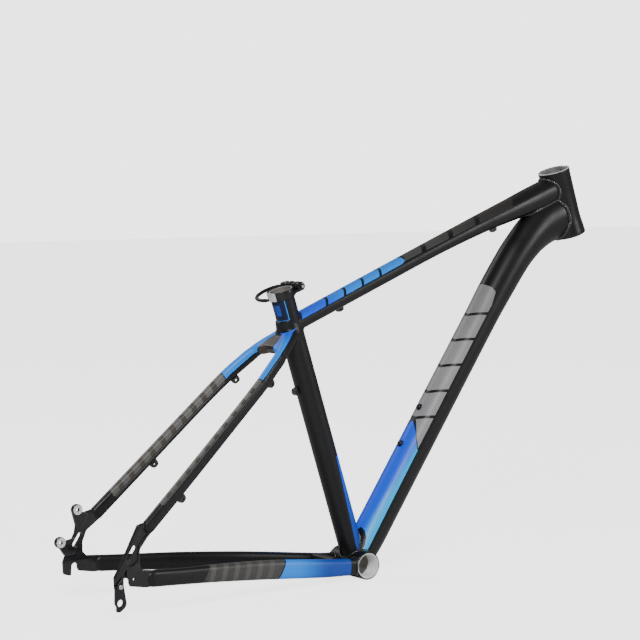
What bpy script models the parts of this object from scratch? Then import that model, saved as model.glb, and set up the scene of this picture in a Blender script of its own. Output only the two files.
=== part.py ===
"""Hardtail mountain bicycle frame: welded aluminium tubes, dropouts, fittings and a seat clamp.

World frame: the bottom bracket centre is the origin, +X is the front of the bike,
+Y its left (non-drive) side and +Z up. All lengths are metres.
"""
import math

import bmesh
import bpy
from mathutils import Matrix, Vector

MM = 0.001
GAP = 0.3 * MM
MERGE = 0.00005

# Driving dimensions.
BB_RADIUS = 20.9 * MM
BB_HALF_WIDTH = 36.5 * MM
BB_THREAD_RADIUS = 17.3 * MM
BB_THREAD_LENGTH = 24 * MM
SEAT_ANGLE = math.radians(72.1)
SEAT_TUBE_FORE = 2 * MM
SEAT_TUBE_LENGTH = 432.5 * MM
SEAT_TUBE_RADIUS = 17.45 * MM
SEAT_TUBE_BORE = 15.8 * MM
HEAD_ANGLE = math.radians(72.2)
HEAD_TOP = Vector((392.4, 0, 581.6)) * MM
HEAD_LENGTH = 108 * MM
HEAD_RADIUS = 24.8 * MM
HEAD_FLARE = 27.0 * MM
HEAD_BORE = 22 * MM
AXLE = Vector((-433.8, 0, 32)) * MM
DROPOUT_INNER = 67.5 * MM
DROPOUT_THICKNESS = 6.5 * MM
TUBE_WALL = 2.0 * MM
STAY_WALL = 1.6 * MM
ROUND_STEPS = 32
DOWN_TUBE_SIDES = 20
TOP_TUBE_SIDES = 18
STAY_SIDES = 14

SEAT_AXIS = Vector((-math.cos(SEAT_ANGLE), 0, math.sin(SEAT_ANGLE)))
SEAT_FORWARD = Vector((math.sin(SEAT_ANGLE), 0, math.cos(SEAT_ANGLE)))
SEAT_FOOT = Vector((SEAT_TUBE_FORE, 0, 0))
HEAD_AXIS = Vector((-math.cos(HEAD_ANGLE), 0, math.sin(HEAD_ANGLE)))
HEAD_FOOT = HEAD_TOP - HEAD_AXIS * HEAD_LENGTH
SIDE = Vector((0, 1, 0))

# Seat clamp, measured in the seat tube's own directions.
CLAMP_BASE = SEAT_TUBE_LENGTH - 11.5 * MM
CLAMP_HEIGHT = 12 * MM
EAR_HEIGHT = 10.4 * MM
SKEWER_LEVEL = 430.5 * MM
CLAMP_RADIUS = 20.7 * MM
SKEWER_FORWARD = 23.5 * MM
SKEWER_RADIUS = 2.2 * MM
EAR_OUTER = 11.5 * MM
PIVOT_SIDE = 22 * MM
CAM_RADIUS = 6.8 * MM
CAM_OFFSET = 1.0 * MM
CAM_HALF_HEIGHT = 4.0 * MM
LEVER_DROP = 1.5 * MM
LEVER_SWEEP_RADIUS = 36 * MM
LEVER_ROD_RADIUS = 2.3 * MM
LEVER_SWEEP = (math.radians(60), math.radians(203))
PIN_RADIUS = 2.0 * MM

# Tube routes: centre x, y, z, half width, half depth (mm) at each station.
TOP_TUBE = [
    (-116, 0, 358.2, 16.0, 11.7), (-60, 0, 380.8, 16.5, 11.7), (40, 0, 421.0, 17.0, 11.8),
    (150, 0, 465.0, 17.5, 12.0), (240, 0, 498.9, 18.5, 14.0), (300, 0, 519.4, 19.5, 17.0),
    (345, 0, 535.1, 20.0, 19.5), (402, 0, 555.6, 20.0, 20.5)]
DOWN_TUBE = [
    (3.7, 0, 2.5, 27.0, 20.4), (12, 0, 14.7, 27.0, 21.6), (28, 0, 38.1, 26.0, 24.6),
    (60, 0, 85.0, 25.1, 25.1), (160, 0, 231.6, 25.1, 25.1), (240, 0, 348.9, 25.1, 25.3),
    (269.5, 0, 391.4, 25.1, 26.8), (307, 0, 441.4, 25.2, 27.8), (327, 0, 463.4, 25.2, 28.8),
    (346.3, 0, 481.3, 25.0, 31.0), (372, 0, 499.0, 24.6, 34.5), (404, 0, 511.5, 24.2, 35.5)]
SEAT_STAY = [
    (-158, 37.2, 316.4, 7.4, 9.4), (-182, 45.6, 296.0, 7.3, 9.4), (-200, 50.4, 280.0, 7.3, 9.2),
    (-240, 55.7, 244.4, 7.3, 8.7), (-330, 65.0, 163.6, 7.3, 8.9), (-397.0, 71.0, 104.2, 6.2, 9.4)]
CHAINSTAY = [
    (-12, 27.5, 0, 9.0, 12.4), (-40, 30.0, 1.3, 9.0, 12.6), (-80, 35.0, 5.0, 8.6, 13.3),
    (-140, 40.0, 11.5, 8.4, 13.8), (-200, 45.6, 17.6, 8.2, 13.7), (-280, 58.0, 24.6, 7.8, 12.5),
    (-340, 66.0, 28.6, 7.3, 11.6), (-390.2, 70.5, 31.8, 6.6, 11.6)]
TUBE_POWER = 2.0
STAY_POWER = 2.8

# Side outlines measured from the axle: x, z, corner radius (mm).
DROPOUT_FOOT = [(7.5, -7, 3), (30, -10.8, 3), (42, -10.8, 1), (42, 11.6, 1)]
DROPOUT_HEAD = [(42.4, 65.4, 1), (30.2, 77.8, 1)]
DROPOUT_STRUT_FRONT = {"left": [(19, 13.5, 4), (12.7, 20, 4), (12.7, 34, 9), (19, 49, 8)],
                       "right": [(25, 13.5, 6), (21.6, 22, 6), (21.6, 42, 9), (33.5, 57, 8)]}
DROPOUT_STRUT_REAR = {"left": [(17, 75, 4), (-8, 30.5, 8)],
                      "right": [(19.2, 75.4, 4), (-4.2, 30.5, 8)]}
DROPOUT_PRONG = [(-17.8, 7.5, 5), (-16.8, -10.2, 4), (-6, -12.6, 1.5), (-5.2, -2, 0)]
WINDOW_ENDS = {"left": [(-1.5, 32), (6.5, 44)], "right": [(4.5, 32), (13, 45)]}
WINDOW_RADIUS = {"left": 4.8, "right": 3.4}
WHEEL_SLOT_RADIUS = 5.2
BRAKE_HOLES = [(2.5, 80.1), (-24.4, 36.5)]
BRAKE_BOSS_RADIUS = 7.9
BRAKE_PAD_RADIUS = 7.0
BRAKE_HOLE_RADIUS = 3.1
BRAKE_TAB_LOW = 62.8 * MM
BRAKE_TAB_HIGH = 69.6 * MM
HANGER_OUTLINE = [
    (-18.0, -6, 6), (-18.3, -28, 5), (-15.4, -33, 1.5), (-15.8, -38.8, 1.5), (-11.3, -39.6, 4),
    (-0.4, -31.6, 9), (-3.2, -16, 8), (-5.6, -2, 5), (-5.4, 9.4, 1.5), (-15.3, -1.4, 1)]
HANGER_HOLE = (-10.5, -27.2)
HANGER_SCREW = (-10.6, -5.0)
ACCESSORY_HOLE = (12.5, 2.4)

PARTS = "bicycle_frame"
CUTTERS = "cutters"
COLLECTIONS = {}


def clear_scene():
    for item in list(bpy.data.objects):
        bpy.data.objects.remove(item, do_unlink=True)


def collection(name):
    if name not in COLLECTIONS:
        made = bpy.data.collections.new(name)
        bpy.context.scene.collection.children.link(made)
        COLLECTIONS[name] = made
    return COLLECTIONS[name]


def material(name, colour, roughness, metallic):
    made = bpy.data.materials.new(name)
    made.use_nodes = True
    shader = made.node_tree.nodes["Principled BSDF"]
    shader.inputs["Base Color"].default_value = (*colour, 1)
    shader.inputs["Roughness"].default_value = roughness
    shader.inputs["Metallic"].default_value = metallic
    made.diffuse_color = (*colour, 1)
    return made


FINISHES = {
    "black_paint": ((0.018, 0.018, 0.020), 0.42, 0.0),
    "blue_paint": ((0.03, 0.20, 0.62), 0.30, 0.3),
    "grey_paint": ((0.12, 0.115, 0.11), 0.45, 0.0),
    "black_anodised": ((0.02, 0.02, 0.022), 0.3, 0.8),
    "bare_aluminium": ((0.78, 0.78, 0.77), 0.3, 1.0),
    "zinc_steel": ((0.55, 0.55, 0.54), 0.3, 1.0),
    "brass": ((0.60, 0.42, 0.16), 0.35, 1.0),
}


def finish(item, kind):
    colour, roughness, metallic = FINISHES[kind]
    item.data.materials.clear()
    item.data.materials.append(material(item.name + "_" + kind, colour, roughness, metallic))


def new_object(name, mesh, group):
    item = bpy.data.objects.new(name, mesh)
    collection(group).objects.link(item)
    if group == CUTTERS:
        item.hide_render = True
        item.display_type = "WIRE"
    return item


def axis_matrix(axis):
    z_dir = axis.normalized()
    forward = Vector((1, 0, 0.01))
    x_dir = (forward - z_dir * forward.dot(z_dir)).normalized()
    y_dir = z_dir.cross(x_dir)
    return Matrix((x_dir, y_dir, z_dir)).transposed().to_4x4()


def spun(name, profile, base, axis, group=PARTS, steps=ROUND_STEPS):
    """A closed profile of (radius, height) points turned about an axis by a Screw modifier."""
    mesh = bpy.data.meshes.new(name)
    points = [(radius, 0, height) for radius, height in reversed(profile)]
    closed = profile[0][0] > 0
    count = len(points)
    edges = [(i, (i + 1) % count) for i in range(count if closed else count - 1)]
    mesh.from_pydata(points, edges, [])
    item = new_object(name, mesh, group)
    turn = item.modifiers.new("turned", "SCREW")
    turn.steps = steps
    turn.render_steps = steps
    turn.use_merge_vertices = True
    turn.merge_threshold = MERGE
    turn.use_smooth_shade = True
    item.matrix_world = Matrix.Translation(base) @ axis_matrix(axis)
    return item


def solid_profile(radius, low, high):
    return [(0, low), (radius, low), (radius, high), (0, high)]


def ring_profile(inner, outer, low, high):
    return [(inner, low), (outer, low), (outer, high), (inner, high)]


def freeze(item):
    """Applies the modifiers, so that the object can be cut or joined as a plain mesh."""
    graph = bpy.context.evaluated_depsgraph_get()
    mesh = bpy.data.meshes.new_from_object(item.evaluated_get(graph))
    work = bmesh.new()
    work.from_mesh(mesh)
    bmesh.ops.remove_doubles(work, verts=work.verts, dist=MERGE)
    bmesh.ops.dissolve_limit(work, angle_limit=math.radians(0.5), verts=work.verts,
                             edges=work.edges)
    bmesh.ops.recalc_face_normals(work, faces=work.faces)
    work.to_mesh(mesh)
    work.free()
    made = bpy.data.objects.new(item.name, mesh)
    owner = item.users_collection[0]
    made.matrix_world = item.matrix_world
    made.hide_render = item.hide_render
    made.display_type = item.display_type
    name = item.name
    bpy.data.objects.remove(item, do_unlink=True)
    owner.objects.link(made)
    made.name = name
    return made


def catmull(before, start, end, after, t):
    return 0.5 * ((2 * start) + (end - before) * t
                  + (2 * before - 5 * start + 4 * end - after) * t * t
                  + (3 * start - before - 3 * end + after) * t * t * t)


def smooth_route(stations, spans):
    """Stations blended into a smooth route with the given number of steps between each two."""
    rows = stations
    out = []
    for index in range(len(rows) - 1):
        window = [rows[max(index - 1, 0)], rows[index], rows[index + 1],
                  rows[min(index + 2, len(rows) - 1)]]
        for step in range(spans):
            out.append([catmull(*column, step / spans) for column in zip(*window)])
    out.append(list(rows[-1]))
    return out


def section(half_width, half_depth, power, count):
    points = []
    for index in range(count):
        angle = 2 * math.pi * index / count
        c, s = math.cos(angle), math.sin(angle)
        points.append((half_width * math.copysign(abs(c) ** (2 / power), c),
                       half_depth * math.copysign(abs(s) ** (2 / power), s)))
    return points


def loft(name, stations, wall=None, grow=0.0, power=TUBE_POWER, count=24, spans=2, mirror=1,
         group=PARTS):
    """A tube along stations, hollow with open ends when a wall is given, else solid."""
    route = smooth_route(stations, spans)
    centres = [Vector((row[0], row[1] * mirror, row[2])) * MM for row in route]
    work = bmesh.new()
    layers = []
    for inset in ([0.0] if wall is None else [0.0, wall]):
        rings = []
        for index, row in enumerate(route):
            ahead = centres[min(index + 1, len(centres) - 1)]
            behind = centres[max(index - 1, 0)]
            tangent = (ahead - behind).normalized()
            side = tangent.cross(Vector((0, 0, 1))).normalized()
            rise = side.cross(tangent)
            outline = section(row[3] * MM + grow - inset, row[4] * MM + grow - inset, power, count)
            rings.append([work.verts.new(centres[index] + side * u + rise * v)
                          for u, v in outline])
        layers.append(rings)
    for rings in layers:
        for low, high in zip(rings, rings[1:]):
            for i in range(count):
                j = (i + 1) % count
                work.faces.new((low[i], low[j], high[j], high[i]))
    for end in (0, -1):
        if wall is None:
            work.faces.new(layers[0][end])
        else:
            outer, inner = layers[0][end], layers[1][end]
            for i in range(count):
                j = (i + 1) % count
                work.faces.new((outer[i], outer[j], inner[j], inner[i]))
    bmesh.ops.recalc_face_normals(work, faces=work.faces)
    for face in work.faces:
        face.smooth = True
    mesh = bpy.data.meshes.new(name)
    work.to_mesh(mesh)
    work.free()
    return new_object(name, mesh, group)


def rounded(corners, steps=4):
    """Corner points (x, y, radius) turned into an outline with arcs at the corners."""
    out = []
    count = len(corners)
    for index, (x, y, radius) in enumerate(corners):
        here = Vector((x, y))
        before = Vector(corners[index - 1][:2])
        after = Vector(corners[(index + 1) % count][:2])
        to_before = (before - here).normalized()
        to_after = (after - here).normalized()
        half = to_before.angle(to_after) / 2
        if radius <= 0 or half > math.radians(86):
            out.append(here)
            continue
        reach = radius / math.tan(half)
        centre = here + (to_before + to_after).normalized() * (radius / math.sin(half))
        start = here + to_before * reach - centre
        end = here + to_after * reach - centre
        turn = start.angle_signed(end)
        arc_steps = max(2, round(steps * abs(turn) / (math.pi / 2)))
        for step in range(arc_steps + 1):
            angle = -turn * step / arc_steps
            c, s = math.cos(angle), math.sin(angle)
            out.append(centre + Vector((start.x * c - start.y * s, start.x * s + start.y * c)))
    return out


def circle(x, y, radius, steps=16):
    return [Vector((x + radius * math.cos(2 * math.pi * i / steps),
                    y + radius * math.sin(2 * math.pi * i / steps))) for i in range(steps)]


def plate(name, loops, thickness, matrix, group=PARTS, bevel=0.0, bevel_steps=2):
    """Flat outlines (mm), the later ones as holes, given a thickness along the matrix's Z."""
    curve = bpy.data.curves.new(name, "CURVE")
    curve.dimensions = "2D"
    curve.fill_mode = "BOTH"
    curve.extrude = thickness / 2
    for loop in loops:
        spline = curve.splines.new("POLY")
        spline.points.add(len(loop) - 1)
        for point, at in zip(spline.points, loop):
            point.co = (at.x * MM, at.y * MM, 0, 1)
        spline.use_cyclic_u = True
    item = new_object(name, curve, group)
    item.matrix_world = matrix
    item = freeze(item)
    if bevel > 0:
        round_over = item.modifiers.new("rounded edges", "BEVEL")
        round_over.width = bevel
        round_over.segments = bevel_steps
        round_over.limit_method = "ANGLE"
        round_over.angle_limit = math.radians(50)
    return item


def boolean(item, tool, operation="DIFFERENCE"):
    cut = item.modifiers.new(operation.lower() + " " + tool.name, "BOOLEAN")
    cut.operation = operation
    cut.solver = "EXACT"
    cut.object = tool


def side_matrix(y, origin=AXLE):
    """Stands an outline of (x, z) upright at the given y, measured from the axle."""
    return Matrix.Translation((origin.x, y, origin.z)) @ Matrix.Rotation(math.pi / 2, 4, "X")


def seat_point(level, forward=0.0, side=0.0):
    return SEAT_FOOT + SEAT_AXIS * level + SEAT_FORWARD * forward + SIDE * side


# ---- outer shapes of the tubes, used to mitre their neighbours ----

def make_mitre_cutters():
    cutters = {}
    cutters["shell"] = spun("cut_bb_shell", solid_profile(BB_RADIUS + GAP, -0.045, 0.045),
                            Vector((0, 0, 0)), SIDE, CUTTERS, 48)
    cutters["head"] = spun("cut_head_tube", head_tube_outer(GAP), HEAD_FOOT, HEAD_AXIS, CUTTERS, 48)
    cutters["seat"] = spun("cut_seat_tube", solid_profile(SEAT_TUBE_RADIUS + GAP, 0.2, 0.48),
                           SEAT_FOOT, SEAT_AXIS, CUTTERS, 48)
    cutters["down"] = loft("cut_down_tube", DOWN_TUBE, grow=GAP, count=DOWN_TUBE_SIDES, group=CUTTERS)
    for label, mirror in (("left", 1), ("right", -1)):
        cutters["chain_" + label] = loft("cut_chainstay_" + label, CHAINSTAY, grow=GAP, count=STAY_SIDES,
                                         power=STAY_POWER, mirror=mirror, group=CUTTERS)
    return cutters


def head_tube_outer(grow=0.0):
    length = HEAD_LENGTH
    return [(0, 0), (HEAD_FLARE + grow, 0), (HEAD_FLARE + grow, 5 * MM),
            (HEAD_RADIUS + 1.2 * MM + grow, 16 * MM), (HEAD_RADIUS + grow, 30 * MM),
            (HEAD_RADIUS + grow, length - 6 * MM), (HEAD_RADIUS + 0.5 * MM + grow, length - 4 * MM),
            (HEAD_RADIUS + 0.5 * MM + grow, length), (0, length)]


# ---- main triangle ----

def make_head_tube():
    relief = HEAD_BORE + 0.8 * MM
    seat_depth = 14 * MM
    outer = head_tube_outer()[1:-1]
    inner = [(HEAD_BORE, HEAD_LENGTH), (HEAD_BORE, HEAD_LENGTH - seat_depth),
             (relief, HEAD_LENGTH - seat_depth - 1 * MM), (relief, seat_depth + 1 * MM),
             (HEAD_BORE, seat_depth), (HEAD_BORE, 0)]
    tube = spun("head_tube", outer + inner, HEAD_FOOT, HEAD_AXIS)
    finish(tube, "black_paint")


def make_bottom_bracket():
    relief = BB_THREAD_RADIUS + 1.2 * MM
    end = BB_HALF_WIDTH
    step = end - BB_THREAD_LENGTH
    profile = [(BB_THREAD_RADIUS, -end), (BB_RADIUS, -end), (BB_RADIUS, end),
               (BB_THREAD_RADIUS, end), (BB_THREAD_RADIUS, step), (relief, step - 1 * MM),
               (relief, 1 * MM - step), (BB_THREAD_RADIUS, -step)]
    shell = spun("bottom_bracket_shell", profile, Vector((0, 0, 0)), SIDE)
    finish(shell, "bare_aluminium")


def make_seat_tube(cutters):
    profile = ring_profile(SEAT_TUBE_BORE, SEAT_TUBE_RADIUS, 4 * MM, SEAT_TUBE_LENGTH)
    tube = spun("seat_tube", profile, SEAT_FOOT, SEAT_AXIS, steps=36)
    slot_outline = rounded([(-1.5, 0, 0), (1.5, 0, 0), (1.5, 45, 0), (-1.5, 45, 0)])
    turned = Matrix((SIDE, SEAT_AXIS, -SEAT_FORWARD)).transposed().to_4x4()
    spot = seat_point(SEAT_TUBE_LENGTH - 32 * MM, -SEAT_TUBE_RADIUS)
    slot = plate("cut_seat_slot", [slot_outline], 8 * MM, Matrix.Translation(spot) @ turned, CUTTERS)
    boolean(tube, cutters["shell"])
    boolean(tube, cutters["down"])
    boolean(tube, slot)
    finish(tube, "black_paint")


def make_top_tube(cutters):
    tube = loft("top_tube", TOP_TUBE, wall=TUBE_WALL, power=2.2, count=TOP_TUBE_SIDES)
    boolean(tube, cutters["seat"])
    boolean(tube, cutters["head"])
    boolean(tube, cutters["down"])
    finish(tube, "blue_paint")


def down_tube_frame():
    """Start, direction and upward normal of the down tube's straight run."""
    start = Vector(DOWN_TUBE[3][:3]) * MM
    end = Vector(DOWN_TUBE[5][:3]) * MM
    along = (end - start).normalized()
    return start, along, Vector((-along.z, 0, along.x))


def boss_spots():
    start, along, normal = down_tube_frame()
    radius = DOWN_TUBE[4][4] * MM
    first = 87 * MM
    spacing = 64 * MM
    return [start + along * (first + spacing * i) + normal * radius for i in range(2)], normal


def make_down_tube(cutters):
    tube = loft("down_tube", DOWN_TUBE, wall=TUBE_WALL, count=DOWN_TUBE_SIDES)
    spots, normal = boss_spots()
    boolean(tube, cutters["shell"])
    boolean(tube, cutters["head"])
    for index, spot in enumerate(spots):
        drill = spun("cut_boss_%d" % (index + 1), solid_profile(4.2 * MM, -6 * MM, 6 * MM), spot,
                     normal, CUTTERS, 20)
        boolean(tube, drill)
    finish(tube, "blue_paint")


def make_bottle_bosses():
    spots, normal = boss_spots()
    for index, spot in enumerate(spots):
        label = ("lower", "upper")[index]
        insert = spun("bottle_insert_" + label,
                      [(2.6 * MM, -9 * MM), (3.8 * MM, -9 * MM), (3.8 * MM, 0.4 * MM),
                       (5.4 * MM, 0.4 * MM), (5.4 * MM, 1.4 * MM), (2.6 * MM, 1.4 * MM)],
                      spot, normal, steps=20)
        finish(insert, "black_anodised")
        screw = spun("bottle_screw_" + label,
                     [(0, -7 * MM), (2.2 * MM, -7 * MM), (2.2 * MM, 1.7 * MM), (4.6 * MM, 1.7 * MM),
                      (4.3 * MM, 3.2 * MM), (2.6 * MM, 4.2 * MM), (1.6 * MM, 4.2 * MM),
                      (1.6 * MM, 2.6 * MM), (0, 2.6 * MM)],
                     spot, normal, steps=16)
        finish(screw, "black_anodised")


# ---- rear triangle ----

def yoke_matrix():
    """The plane of the yoke: X runs forwards along it from its joint with the stays."""
    rear = Vector((-164.4, 0, 312.2)) * MM
    front = Vector((-125, 0, 343)) * MM
    along = (front - rear).normalized()
    return Matrix.Translation(rear) @ Matrix((along, SIDE, along.cross(SIDE))).transposed().to_4x4()


def make_seat_stay_yoke(cutters):
    half = [(0, 47, 0.5), (20, 40.5, 20), (40, 28, 18), (60, 14, 2)]
    notch = [(21.5, 23, 6)]
    corners = [(x, -y, r) for x, y, r in half] + [(x, y, r) for x, y, r in reversed(half)]
    corners += [(0, 34, 0.5)] + notch + [(x, -y, r) for x, y, r in reversed(notch)]
    corners += [(0, -34, 0.5)]
    yoke = plate("seat_stay_yoke", [rounded(corners)], 17.2 * MM, yoke_matrix(),
                 bevel=4.6 * MM, bevel_steps=3)
    boolean(yoke, cutters["seat"])
    finish(yoke, "blue_paint")


def make_seat_stays():
    front = [Vector((-0.3, -60)), Vector((40, -60)), Vector((40, 60)), Vector((-0.3, 60))]
    trim = plate("cut_stay_fronts", [front], 60 * MM, yoke_matrix(), CUTTERS)
    for label, mirror in (("left", 1), ("right", -1)):
        stay = loft("seat_stay_" + label, SEAT_STAY, wall=STAY_WALL, power=STAY_POWER,
                    count=STAY_SIDES, mirror=mirror)
        boolean(stay, trim)
        finish(stay, "grey_paint")


def make_chainstays(cutters):
    for label, mirror in (("left", 1), ("right", -1)):
        stay = loft("chainstay_" + label, CHAINSTAY, wall=STAY_WALL, power=STAY_POWER,
                    count=STAY_SIDES, mirror=mirror)
        boolean(stay, cutters["shell"])
        finish(stay, "black_paint")


def make_chainstay_bridge(cutters):
    bridge = spun("chainstay_bridge", ring_profile(5.5 * MM, 7.5 * MM, -26 * MM, 26 * MM),
                  Vector((-52, 0, 9)) * MM, SIDE, steps=20)
    boolean(bridge, cutters["chain_left"])
    boolean(bridge, cutters["chain_right"])
    finish(bridge, "black_paint")


def dropout_outline(label):
    """Foot, strut and prongs, ending in the round closed end of the wheel slot."""
    radius = WHEEL_SLOT_RADIUS
    corners = (DROPOUT_FOOT + DROPOUT_STRUT_FRONT[label] + DROPOUT_HEAD
               + DROPOUT_STRUT_REAR[label] + DROPOUT_PRONG)
    slot_end = [Vector((-radius * math.cos(angle), radius * math.sin(angle)))
                for angle in (math.pi * i / 8 for i in range(9))]
    return rounded(corners) + slot_end + [Vector((radius, -2.5))]


def rounded_slot(start, end, radius, steps=6):
    """An outline with round ends from one centre to another."""
    a, b = Vector(start), Vector(end)
    heading = math.atan2(b.y - a.y, b.x - a.x)
    out = []
    for centre, base in ((a, heading + math.pi / 2), (b, heading - math.pi / 2)):
        for i in range(steps + 1):
            angle = base + math.pi * i / steps
            out.append(centre + Vector((math.cos(angle), math.sin(angle))) * radius)
    return out


def arc(centre, radius, first, last, steps):
    """Corner points without rounding along an arc, from one angle in degrees to another."""
    angles = [math.radians(first + (last - first) * i / steps) for i in range(steps + 1)]
    return [(centre[0] + radius * math.cos(a), centre[1] + radius * math.sin(a), 0)
            for a in angles]


def brake_tab_outline():
    """The plate behind the left dropout with a round boss at each brake mount hole."""
    upper, lower = BRAKE_HOLES
    corners = arc(upper, BRAKE_BOSS_RADIUS, -22, 195, 16)
    corners += [(0.5, 58, 8), (-2.5, 40.5, 4)]
    corners += arc(lower, BRAKE_BOSS_RADIUS, 10, 262, 20)
    corners += [(-17, 16.5, 4), (-2.5, 18, 3), (12, 54, 3), (22, 72, 2)]
    return rounded(corners)


def make_dropout_left():
    middle = DROPOUT_INNER + DROPOUT_THICKNESS / 2
    item = plate("dropout_left", [dropout_outline("left")], DROPOUT_THICKNESS, side_matrix(middle))
    tab_middle = (BRAKE_TAB_LOW + BRAKE_TAB_HIGH) / 2
    holes = [circle(*centre, BRAKE_HOLE_RADIUS, 16) for centre in BRAKE_HOLES]
    tab = plate("join_brake_tabs", [brake_tab_outline()] + holes, BRAKE_TAB_HIGH - BRAKE_TAB_LOW,
                side_matrix(tab_middle), CUTTERS)
    for index, centre in enumerate(BRAKE_HOLES):
        face = [circle(*centre, BRAKE_PAD_RADIUS, 24), circle(*centre, BRAKE_HOLE_RADIUS + 0.5, 16)]
        pad = plate("join_brake_pad_%d" % (index + 1), face, 3 * MM,
                    side_matrix(BRAKE_TAB_LOW + 0.7 * MM), CUTTERS)
        boolean(tab, pad, "UNION")
    boolean(item, tab, "UNION")
    window = plate("cut_left_window", [rounded_slot(*WINDOW_ENDS["left"], WINDOW_RADIUS["left"])], 24 * MM,
                   side_matrix(tab_middle), CUTTERS)
    boolean(item, window)
    finish(item, "black_paint")


def make_dropout_right():
    middle = -(DROPOUT_INNER + DROPOUT_THICKNESS / 2)
    holes = [rounded_slot(*WINDOW_ENDS["right"], WINDOW_RADIUS["right"]),
             circle(*ACCESSORY_HOLE, 2.0, 12)]
    item = plate("dropout_right", [dropout_outline("right")] + holes, DROPOUT_THICKNESS,
                 side_matrix(middle))
    lap = plate("cut_hanger_lap",
                [rounded([(-24, -9, 0), (0.5, 17.4, 0), (0.5, -20, 0), (-24, -20, 0)])],
                8 * MM, side_matrix(-(DROPOUT_INNER + 3.2 * MM + 4 * MM)), CUTTERS)
    boolean(item, lap)
    spot = AXLE + Vector((HANGER_SCREW[0] * MM, 0, HANGER_SCREW[1] * MM))
    hole = spun("cut_hanger_screw", solid_profile(2.4 * MM, -0.080, -0.060), spot, SIDE, CUTTERS, 16)
    boolean(item, hole)
    finish(item, "black_paint")


def make_hanger():
    outer = -(DROPOUT_INNER + 3.2 * MM + GAP)
    thickness = 5.6 * MM
    holes = [circle(*HANGER_HOLE, 4.9, 20), circle(*HANGER_SCREW, 2.5, 12)]
    hanger = plate("derailleur_hanger", [rounded(HANGER_OUTLINE)] + holes, thickness,
                   side_matrix(outer - thickness / 2))
    finish(hanger, "black_anodised")
    face = outer - thickness - GAP
    spot = AXLE + Vector((HANGER_SCREW[0] * MM, 0, HANGER_SCREW[1] * MM))
    screw = spun("hanger_screw",
                 [(0, -6.5 * MM), (2.1 * MM, -6.5 * MM), (2.1 * MM, 0), (3.6 * MM, 0),
                  (3.3 * MM, 1.4 * MM), (1.5 * MM, 2.0 * MM), (1.5 * MM, 1.0 * MM), (0, 1.0 * MM)],
                 Vector((spot.x, face, spot.z)), -SIDE, steps=16)
    finish(screw, "zinc_steel")


# ---- cable guides ----

def guide(name, foot, outward, along, height, length, width):
    """A rounded tab standing on a tube with a hole across it for the hose's strap."""
    turned = Matrix((along, outward, along.cross(outward))).transposed().to_4x4()
    half = length / 2
    corners = [(-half, 0, 0.4), (half, 0, 0.4), (half * 0.85, height, height * 0.55),
               (-half * 0.85, height, height * 0.55)]
    hole = circle(0, height * 0.52, height * 0.22, 12)
    item = plate(name, [rounded(corners, 5), hole], width * MM,
                 Matrix.Translation(foot + outward * 2 * GAP) @ turned)
    finish(item, "black_paint")


def stay_guides():
    spots = {"left_upper": (1, -188), "right_upper": (-1, -187),
             "left_lower": (1, -312), "right_lower": (-1, -352)}
    rows = smooth_route(SEAT_STAY, 12)
    for label, (mirror, at) in spots.items():
        index = min(range(len(rows)), key=lambda i: abs(rows[i][0] - at))
        row, ahead = rows[index], rows[index + 1]
        centre = Vector((row[0], row[1] * mirror, row[2])) * MM
        after = Vector((ahead[0], ahead[1] * mirror, ahead[2])) * MM
        along = (after - centre).normalized()
        side = along.cross(Vector((0, 0, 1))).normalized()
        down = along.cross(side).normalized()
        guide("stay_guide_" + label, centre + down * row[4] * MM, down, along, 8.5, 13, 5.5)


def tube_guides():
    rows = smooth_route(TOP_TUBE, 12)
    for label, at in (("rear", -31), ("front", 262)):
        index = min(range(len(rows)), key=lambda i: abs(rows[i][0] - at))
        row, ahead = rows[index], rows[index + 1]
        centre = Vector(row[:3]) * MM
        along = (Vector(ahead[:3]) * MM - centre).normalized()
        down = Vector((along.z, 0, -along.x))
        guide("top_tube_guide_" + label, centre + down * row[4] * MM, down, along, 5.5, 12, 6)
    guide("seat_tube_guide", seat_point(282.5 * MM, -SEAT_TUBE_RADIUS), -SEAT_FORWARD, SEAT_AXIS,
          8, 12, 6)


# ---- seat clamp ----

def clamp_matrix(level, side=0.0, forward=0.0):
    """Directions forward, side and up the seat tube at a point in the clamp."""
    turned = Matrix((SEAT_FORWARD, SIDE, SEAT_AXIS)).transposed().to_4x4()
    return Matrix.Translation(seat_point(level, forward, side)) @ turned


def make_collar():
    """A split ring with two ears that stand a little above it, drilled for the skewer."""
    inner = SEAT_TUBE_RADIUS / MM + 0.3
    outer = CLAMP_RADIUS / MM
    slit = 1.5
    ear = EAR_OUTER / MM
    front = SKEWER_FORWARD / MM + 6
    start = math.asin(slit / inner)
    points = [Vector((inner * math.cos(angle), inner * math.sin(angle)))
              for angle in (start + (2 * math.pi - 2 * start) * i / 32 for i in range(33))]
    points += [Vector((front - 2, -slit)), Vector((front - 2, 1 - ear))]
    join = math.asin((ear - 1) / outer)
    points += [Vector((outer * math.cos(angle), outer * math.sin(angle)))
               for angle in (2 * math.pi - join - (2 * math.pi - 2 * join) * i / 28
                             for i in range(29))]
    points += [Vector((front - 2, ear - 1)), Vector((front - 2, slit))]
    collar = plate("clamp_collar", [points], CLAMP_HEIGHT,
                   clamp_matrix(CLAMP_BASE + CLAMP_HEIGHT / 2))
    spot = seat_point(SKEWER_LEVEL, SKEWER_FORWARD)
    for label, low, high in (("left", slit, ear), ("right", -ear, -slit)):
        corners = [(inner + 0.8, low, 1), (front, low, 1.5), (front, high, 1.5),
                   (inner + 0.8, high, 1)]
        block = plate("join_ear_" + label, [rounded(corners, 3)], EAR_HEIGHT,
                      clamp_matrix(SKEWER_LEVEL), CUTTERS)
        boolean(collar, block, "UNION")
    drill = spun("cut_skewer_hole", solid_profile(SKEWER_RADIUS + GAP, -0.02, 0.02), spot, SIDE,
                 CUTTERS, 20)
    boolean(collar, drill)
    finish(collar, "black_anodised")


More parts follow.
